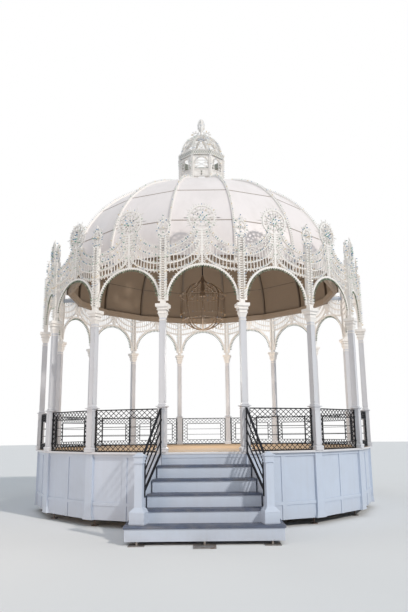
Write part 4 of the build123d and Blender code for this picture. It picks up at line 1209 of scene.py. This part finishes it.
class BANDSTAND_OT_lantern_lamps(bpy.types.Operator):
    """Lamps on the lantern's cornice, posts, arches, cupola ribs, scrolls and finial."""

    bl_idname = "bandstand.lantern_lamps"
    bl_label = "Lantern lamps"

    def execute(self, context):
        plan, dome, lamp = groups_of(context, "plan", "dome", "lamps")
        faces, posts = lantern_angles(dome)
        quarters = (0, 90, 180, 270)
        outer, half, foot, top = cornice_sizes(plan, dome)
        x = np.linspace(-half + 0.03, half - 0.03, 9)
        face_y = -dome.lantern_radius * math.cos(math.pi / dome.lantern_sides) - 0.022
        hood, _ = stepped(lantern_arch(plan, face_y, 64), lamp.pitch)
        rows = [
            lamps(points_at(x, -outer - 0.01, foot + 0.01), (0, -0.7, -0.7), lamp),
            lamps(points_at(x, -outer - 0.01, top - 0.01), (0, -0.6, 0.8), lamp),
            lamps(hood, (0, -1, 0), lamp),
        ]
        for left, right, count in zip(*cage_ends(plan, dome, posts), (6, 6, 5, 3)):
            t = (np.arange(count)[:, None] + 0.5) / count
            rows.append(lamps(left + (right - left) * t, (0, -0.9, 0.4), lamp))
        z = np.arange(plan.floor + dome.lantern_foot + 0.04, foot - 0.02, 0.06)
        points, along = stepped(cupola_curve(plan, dome), lamp.pitch)
        ribs = [
            lamps(points_at(0.0, -dome.lantern_radius - 0.036, z), (0, -1, 0.2), lamp),
            lamps(points, square_to(along), lamp),
        ]
        for side in (-1.0, 1.0):
            ribs.append(lamps(points + np.array([0.02 * side, 0.0, 0.0]), (side, 0, 0.3), lamp))
        volute, spoke = volute_spokes(np.arange(0, 360, 45))
        spikes = lamps(volute + 0.072 * spoke, spoke, lamp, 1.5)
        edge = lamps(leaf_edge(np.linspace(-0.85, 0.85, 13)), (1.0, 0.0, 0.4), lamp)
        groups = ((joined(rows), faces), (joined(ribs), posts), (spikes, quarters), (edge, quarters))
        shape = joined([around(part, angles) for part, angles in groups])
        piece("lantern_lamps", shape, "Lamp glass", smooth=True)
        return {"FINISHED"}


# Hanging light


def bow(start, end, sag, count):
    """Points of a shallow arc: the chord plus 4 sags times t(1 - t), square to the chord on its left."""
    start, end = np.asarray(start, float), np.asarray(end, float)
    t = np.linspace(0.0, 1.0, count)[:, None]
    chord = end - start
    left = np.array([-chord[1], chord[0]]) / np.linalg.norm(chord)
    return start + t * chord + 4.0 * sag * t * (1.0 - t) * left


def light_outline(plan, light, clear):
    """A rib of the hanging light, moved out from its middle line: a hollow cone, a side and a bowl."""
    rings = [tuple(light.shoulder), tuple(light.ring), tuple(light.bowl)]
    turns = [(0.01, light.peak), *rings, (0.01, light.foot)]
    sags = (-0.06, 0.04, 0.025, 0.07)
    runs = [bow(a, b, sag, 24)[:-1] for a, b, sag in zip(turns[:-1], turns[1:], sags)]
    flat = np.concatenate(runs)
    ahead = np.gradient(flat, axis=0)
    out = np.stack([-ahead[:, 1], ahead[:, 0]], -1)
    out /= np.linalg.norm(out, axis=1)[:, None]
    flat = (flat + clear * out)[1:-1]
    return points_at(0.0, -flat[:, 0], plan.floor + flat[:, 1])


class BANDSTAND_OT_hanging_light(bpy.types.Operator):
    """Lamps on the ribs and rings of the hanging light, and strings of drops under its rings."""

    bl_idname = "bandstand.hanging_light"
    bl_label = "Hanging light"

    def execute(self, context):
        plan, light, lamp = groups_of(context, "plan", "hanging", "lamps")
        points, along = stepped(light_outline(plan, light, 0.014), 1.1 * lamp.pitch)
        turns = 360.0 * np.arange(light.ribs) / light.ribs
        shapes = [around(lamps(points, square_to(along), lamp), turns)]
        strings = []
        for (radius, height), count in ((light.shoulder, 20), (light.ring, 36), (light.bowl, 28)):
            a = 2.0 * math.pi * (np.arange(count) + 0.5) / count
            rim = points_at(radius * np.cos(a), radius * np.sin(a), plan.floor + height)
            level = points_at(np.cos(a), np.sin(a), 0.0)
            shapes.append(lamps(rim + 0.014 * level, level + np.array([0.0, 0.0, 0.4]), lamp))
            drop = np.array([0.0, 0.0, light.string if radius < light.ring[0] else 1.6 * light.string])
            drop = drop * (0.45 if height == light.bowl[1] else 1.0)
            top = rim - np.array([0.0, 0.0, 0.012])
            strings.append(bars(top, top - drop, 0.007, 0.007))
            shapes.append(lamps(top - drop + np.array([0.0, 0.0, 0.004]), (0, 0, -1), lamp))
        piece("hanging_light_lamps", joined(shapes), "Dim lamp glass", smooth=True)
        piece("hanging_light_strings", joined(strings), "Gilt paint")
        return {"FINISHED"}


# Columns and stage


def collars_round(collars, foot, turn=0.0):
    """Square collars from (distance to the side, height, profile), each profile from that place on."""
    shapes = []
    for distance, height, profile in collars:
        shapes.append(moulding([(distance + a, foot + height + b) for a, b in profile], 4, turn))
    return shapes


class BANDSTAND_OT_newel_trim(bpy.types.Operator):
    """Mouldings on the two newel posts, and the iron bars that cap the stair's rails and end them."""

    bl_idname = "bandstand.newel_trim"
    bl_label = "Newels and rails"

    def execute(self, context):
        stair = context.scene.bandstand_stair
        low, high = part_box("newel_posts")
        cap = high.z - 0.075
        collars = (
            (0.09, cap, ((-0.02, -0.016), (-0.002, -0.002), (-0.02, 0.0))),
            (0.09, cap, ((-0.01, 0.006), (0.006, 0.01), (0.006, 0.022), (-0.01, 0.026))),
            (0.078, cap - 0.1, ((-0.02, 0.0), (0.009, 0.002), (0.009, 0.016), (-0.02, 0.018))),
            (0.128, low.z + 0.18, ((-0.02, 0.0), (0.005, 0.0), (0.002, 0.01), (-0.02, 0.012))),
            (0.128, low.z + 0.012, ((-0.02, 0.0), (0.006, 0.0), (0.006, 0.016), (-0.02, 0.022))),
        )
        (x, y), (near_x, near_y), (far_x, far_y) = stair.newel, stair.near, stair.far
        turn = math.atan2(far_x - near_x, near_y - far_y)
        post = moved(joined(collars_round(collars, 0.0, math.degrees(turn))), (x, y, 0.0))
        # The newels take the stage paint, with its painted shade.
        piece("newel_mouldings", mirrored(post), "Stage paint with painted shade")
        along = np.array([math.sin(turn), -math.cos(turn), 0.0])
        inward = np.array([-math.cos(turn), -math.sin(turn), 0.0])
        foot = np.array([x, y, stair.foot_far]) + (stair.newel_half + 0.008) * inward - 0.05 * along
        top = foot + np.array([0.0, 0.0, stair.top_far - stair.foot_far])
        starts = points_at(near_x, near_y, [stair.top_near + 0.01, stair.foot_near - 0.01])
        ends = points_at(far_x, far_y, [stair.top_far + 0.01, stair.foot_far - 0.01])
        caps = bars(starts, ends, stair.rail_cap, 0.014, (0, 0, 1))
        rail = joined([bars([foot], [top], 0.024, 0.024), caps])
        piece("stair_rail_caps", mirrored(rail), "Black iron")
        return {"FINISHED"}


def raised_edges(width, low, high, proud=0.003):
    """Strips that stand proud along the edges of a square post, and bands across its ends."""
    edge, strip = width / 2.0, 0.2 * width
    z, tall = (low + high) / 2.0, high - low
    parts = []
    for side in (-1.0, 1.0):
        out = side * (edge + proud / 2.0)
        for place in (-1.0, 1.0):
            shift = place * (edge - strip / 2.0 + proud / 2.0)
            parts.append(boxes([[shift, out, z]], (strip + proud, proud, tall)))
            parts.append(boxes([[out, shift, z]], (proud, strip + proud, tall)))
        for level in (low, high):
            parts.append(boxes([[0, out, level]], (width, proud, 0.02)))
            parts.append(boxes([[out, 0, level]], (proud, width, 0.02)))
    return parts


class BANDSTAND_OT_column_trim(bpy.types.Operator):
    """Raised edges on the shafts and pedestals, and finer mouldings on capitals and pedestals."""

    bl_idname = "bandstand.column_trim"
    bl_label = "Column mouldings"

    def execute(self, context):
        plan = context.scene.bandstand_plan
        collars = (
            (0.056, 0.873, ((0.0, 0.0), (0.014, 0.0), (0.014, 0.01), (0.006, 0.024), (0.0, 0.028))),
            (0.073, 0.79, ((-0.005, 0.0), (0.009, 0.0), (0.009, 0.012), (-0.005, 0.012))),
            (0.1, 0.839, ((-0.01, 0.0), (0.005, 0.0), (0.005, 0.014), (-0.01, 0.014))),
            (0.098, 0.058, ((-0.02, 0.0), (0.006, 0.0), (0.0, 0.02), (-0.02, 0.03))),
        )
        capital = (
            (0.056, 2.5, ((-0.005, 0.0), (0.008, 0.0), (0.008, 0.014), (-0.005, 0.014))),
            (0.0805, 2.634, ((-0.01, 0.0), (0.006, 0.0), (0.01, 0.008), (0.006, 0.016), (-0.01, 0.016))),
            (0.0935, 2.706, ((-0.01, 0.0), (0.007, 0.0), (0.007, 0.014), (-0.01, 0.014))),
            (0.125, 2.77, ((-0.032, -0.022), (-0.004, 0.0), (-0.032, 0.0))),
        )
        parts = raised_edges(plan.shaft, plan.floor + 0.93, plan.floor + 2.46)
        parts += raised_edges(plan.pedestal, plan.floor + 0.1, plan.floor + 0.76)
        # Shafts and pedestals take the darker paint with painted shade; capitals take the brighter white, a
        # painted lit copy.
        for name, shapes, paint in (
            ("column_mouldings", parts + collars_round(collars, plan.floor), "Column paint with painted shade"),
            ("capital_mouldings", collars_round(capital, plan.floor), "Openwork paint"),
        ):
            column = moved(joined(shapes), (0, -plan.column_circle, 0))
            piece(name, around(column, corner_angles(plan)), paint)
        return {"FINISHED"}


class BANDSTAND_OT_stage_boards(bpy.types.Operator):
    """The stage floor as boards with gaps, cut to the plan, inside a moulded white edge."""

    bl_idname = "bandstand.stage_boards"
    bl_label = "Stage boards"

    def execute(self, context):
        plan = context.scene.bandstand_plan
        reach = apothem(plan) + plan.floor_overhang
        inner = reach - 0.03
        low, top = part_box("deck_floor")[0].z, plan.floor
        corner = inner / math.cos(math.pi / plan.sides)
        a = np.radians(corner_angles(plan))
        ys, xs = -corner * np.cos(a), np.abs(corner * np.sin(a))
        order = np.argsort(ys)
        count = int(2.0 * inner / plan.floor_board)
        edges = -inner + np.arange(count + 1) * (2.0 * inner / count)
        y = edges[:-1, None] + np.linspace(0.0, 1.0, 6) * (edges[1] - edges[0] - plan.floor_gap)
        x = np.interp(y, ys[order], xs[order])
        section = np.stack([points_at(s * x, y, z) for s, z in ((-1, low), (1, low), (1, top), (-1, top))], 2)
        boards = []
        for i, rows in enumerate(section):
            body = grid(rows, False, True)
            last = len(body.points) - 4
            ends = [[0, 1, 2, 3], [last + 3, last + 2, last + 1, last]]
            shade = np.full(len(body.points), (i * 0.618) % 1.0)
            boards.append(Shape(body.points, [body.faces[0], ends], shade))
        made = piece("stage_boards", joined(boards), "Stage boards")
        profile = [
            (inner, low),
            (reach - 0.004, low),
            (reach, low + 0.004),
            (reach, low + 0.026),
            (reach - 0.006, low + 0.036),
            (reach - 0.016, top),
            (inner, top),
        ]
        # The edge takes the column paint, with its painted shade.
        piece("stage_edge", moulding(profile, plan.sides), "Column paint with painted shade")
        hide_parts("deck_floor")
        return {"FINISHED"}


# Studio


def aimed(name, light, place, direction):
    """A light at a place, shining along a direction."""
    lamp = bpy.data.objects.new(name, light)
    lamp.location = place
    lamp.rotation_mode = "QUATERNION"
    lamp.rotation_quaternion = Vector(direction).to_track_quat("-Z", "Y")
    bpy.context.scene.collection.objects.link(lamp)
    return lamp


def studio_floor(scene, studio):
    """A wide pale floor, faintly mottled."""
    a = 2.0 * math.pi * np.arange(96) / 96
    radii = np.array([0.02, 8.0, 20.0, studio.floor_reach])[:, None]
    flat = grid(points_at(radii * np.cos(a), radii * np.sin(a), 0.0), False, True)
    mesh = bpy.data.meshes.new("studio_floor")
    mesh.from_pydata(flat.points, [], np.concatenate(flat.faces).tolist())
    floor = bpy.data.objects.new("studio_floor", mesh)
    scene.collection.objects.link(floor)
    tree, shader, vector = new_material("Studio floor")
    mottle = noise(tree, vector, 0.6, 3.0)
    floor_colour = mixed(tree, mottle, studio.backdrop, shaded(studio.backdrop, 0.97))
    fed(tree, shader, {"Base Color": floor_colour, "Roughness": 0.9})
    mesh.materials.append(bpy.data.materials["Studio floor"])


def studio_surround(scene, studio):
    """A bluish light from all round, which the camera and mirrors see as plain white."""
    world = bpy.data.worlds.new("Studio surround")
    world.use_nodes = True
    scene.world = world
    tree = world.node_tree
    background = tree.nodes["Background"]
    fed(tree, background, {"Color": (0.8, 0.9, 1.0, 1.0), "Strength": studio.surround})
    plain = node(tree, "ShaderNodeBackground", in_0=(1.0, 1.0, 1.0, 1.0), in_1=1.0)
    path = node(tree, "ShaderNodeLightPath").outputs
    seen = sums(tree, "MAXIMUM", path["Is Camera Ray"], path["Is Glossy Ray"])
    mix = node(tree, "ShaderNodeMixShader")
    fed(tree, mix, {0: seen, 1: background.outputs[0], 2: plain.outputs[0]})
    link(tree, mix.outputs[0], tree.nodes["World Output"].inputs["Surface"])


def studio_lights(scene, studio):
    """A warm key sun, a soft fill sun, a low warm lamp on the left and a lamp under the dome."""
    for name, strength, colour, angle, direction in (
        ("Key", studio.key, (1.0, 0.955, 0.89), 3.0, (-0.62, 0.66, -0.62)),
        ("Fill", studio.fill, (1.0, 0.95, 0.9), 60.0, (0.75, 0.7, -0.35)),
    ):
        light = bpy.data.lights.new(name, "SUN")
        light.energy = strength
        light.color = colour
        light.angle = math.radians(angle)
        aimed(name, light, (0.0, 0.0, 0.0), direction)
    sheet = bpy.data.lights.new("Low", "AREA")
    sheet.shape = "RECTANGLE"
    sheet.size, sheet.size_y = 5.0, 1.5
    sheet.spread = math.radians(75.0)
    sheet.energy = studio.low
    sheet.color = (1.0, 0.7, 0.45)
    place, target = Vector((-9.5, -11.5, 2.2)), Vector((-2.0, -3.5, 1.2))
    aimed("Low", sheet, place, target - place).visible_camera = False
    bulb = bpy.data.lights.new("Inner", "POINT")
    bulb.energy = studio.inner
    bulb.color = (1.0, 0.96, 0.9)
    bulb.shadow_soft_size = 1.2
    inner = bpy.data.objects.new("Inner", bulb)
    inner.location = (0.0, 0.0, scene.bandstand_plan.floor + 2.2)
    inner.visible_camera = False
    scene.collection.objects.link(inner)


def studio_camera(scene, studio):
    """The camera at the photograph's angle, turned by its yaw, pitch and roll."""
    camera = bpy.data.cameras.new("Camera")
    camera.lens = studio.lens
    camera.sensor_width = 36.0
    camera.sensor_fit = "AUTO"
    camera.clip_end = 300.0
    view = bpy.data.objects.new("Camera", camera)
    yaw, pitch, roll = studio.yaw, studio.pitch, studio.roll
    forward = Vector((math.sin(yaw) * math.cos(pitch), math.cos(yaw) * math.cos(pitch), math.sin(pitch)))
    level = Vector((math.cos(yaw), -math.sin(yaw), 0.0))
    upward = level.cross(forward)
    right = math.cos(roll) * level + math.sin(roll) * upward
    up = math.cos(roll) * upward - math.sin(roll) * level
    turn = Matrix((right, up, -forward)).transposed()
    view.matrix_world = Matrix.Translation(Vector(studio.camera_place)) @ turn.to_4x4()
    scene.collection.objects.link(view)
    scene.camera = view
    scene.view_settings.view_transform = "Standard"


class BANDSTAND_OT_studio(bpy.types.Operator):
    """The studio: a pale floor, soft lights, a white surround and the camera."""

    bl_idname = "bandstand.studio"
    bl_label = "Studio"

    def execute(self, context):
        scene = context.scene
        for build in (studio_floor, studio_surround, studio_lights, studio_camera):
            build(scene, scene.bandstand_studio)
        return {"FINISHED"}


class BANDSTAND_PT_panel(bpy.types.Panel):
    """The steps that dress the bandstand, in order."""

    bl_idname = "BANDSTAND_PT_panel"
    bl_label = "Bandstand"
    bl_space_type = "VIEW_3D"
    bl_region_type = "UI"
    bl_category = "Bandstand"

    def draw(self, context):
        for step in steps:
            self.layout.operator(step.bl_idname, text=step.bl_label)


steps = (
    BANDSTAND_OT_finishes,
    BANDSTAND_OT_swag_bars,
    BANDSTAND_OT_frieze_scrolls,
    BANDSTAND_OT_middle_posts,
    BANDSTAND_OT_rosettes,
    BANDSTAND_OT_frieze_lamps,
    BANDSTAND_OT_upright_lamps,
    BANDSTAND_OT_head_scrolls,
    BANDSTAND_OT_rib_lamps,
    BANDSTAND_OT_seams,
    BANDSTAND_OT_lantern_trim,
    BANDSTAND_OT_lantern_lamps,
    BANDSTAND_OT_hanging_light,
    BANDSTAND_OT_newel_trim,
    BANDSTAND_OT_column_trim,
    BANDSTAND_OT_stage_boards,
    BANDSTAND_OT_studio,
)
groups = {
    "bandstand_plan": PlanSizes,
    "bandstand_stair": StairSizes,
    "bandstand_frieze": FriezeSizes,
    "bandstand_dome": DomeSizes,
    "bandstand_hanging": HangingLightSizes,
    "bandstand_lamps": LampSizes,
    "bandstand_finishes": Finishes,
    "bandstand_studio": StageSizes,
}


def register():
    for cls in (*groups.values(), *steps, BANDSTAND_PT_panel):
        bpy.utils.register_class(cls)
    for name, cls in groups.items():
        setattr(bpy.types.Scene, name, PointerProperty(type=cls))


def unregister():
    for name in groups:
        delattr(bpy.types.Scene, name)
    for cls in reversed((*groups.values(), *steps, BANDSTAND_PT_panel)):
        bpy.utils.unregister_class(cls)


def main():
    register()
    for step in steps:
        getattr(bpy.ops.bandstand, step.bl_idname.split(".")[1])()


if __name__ == "__main__":
    main()
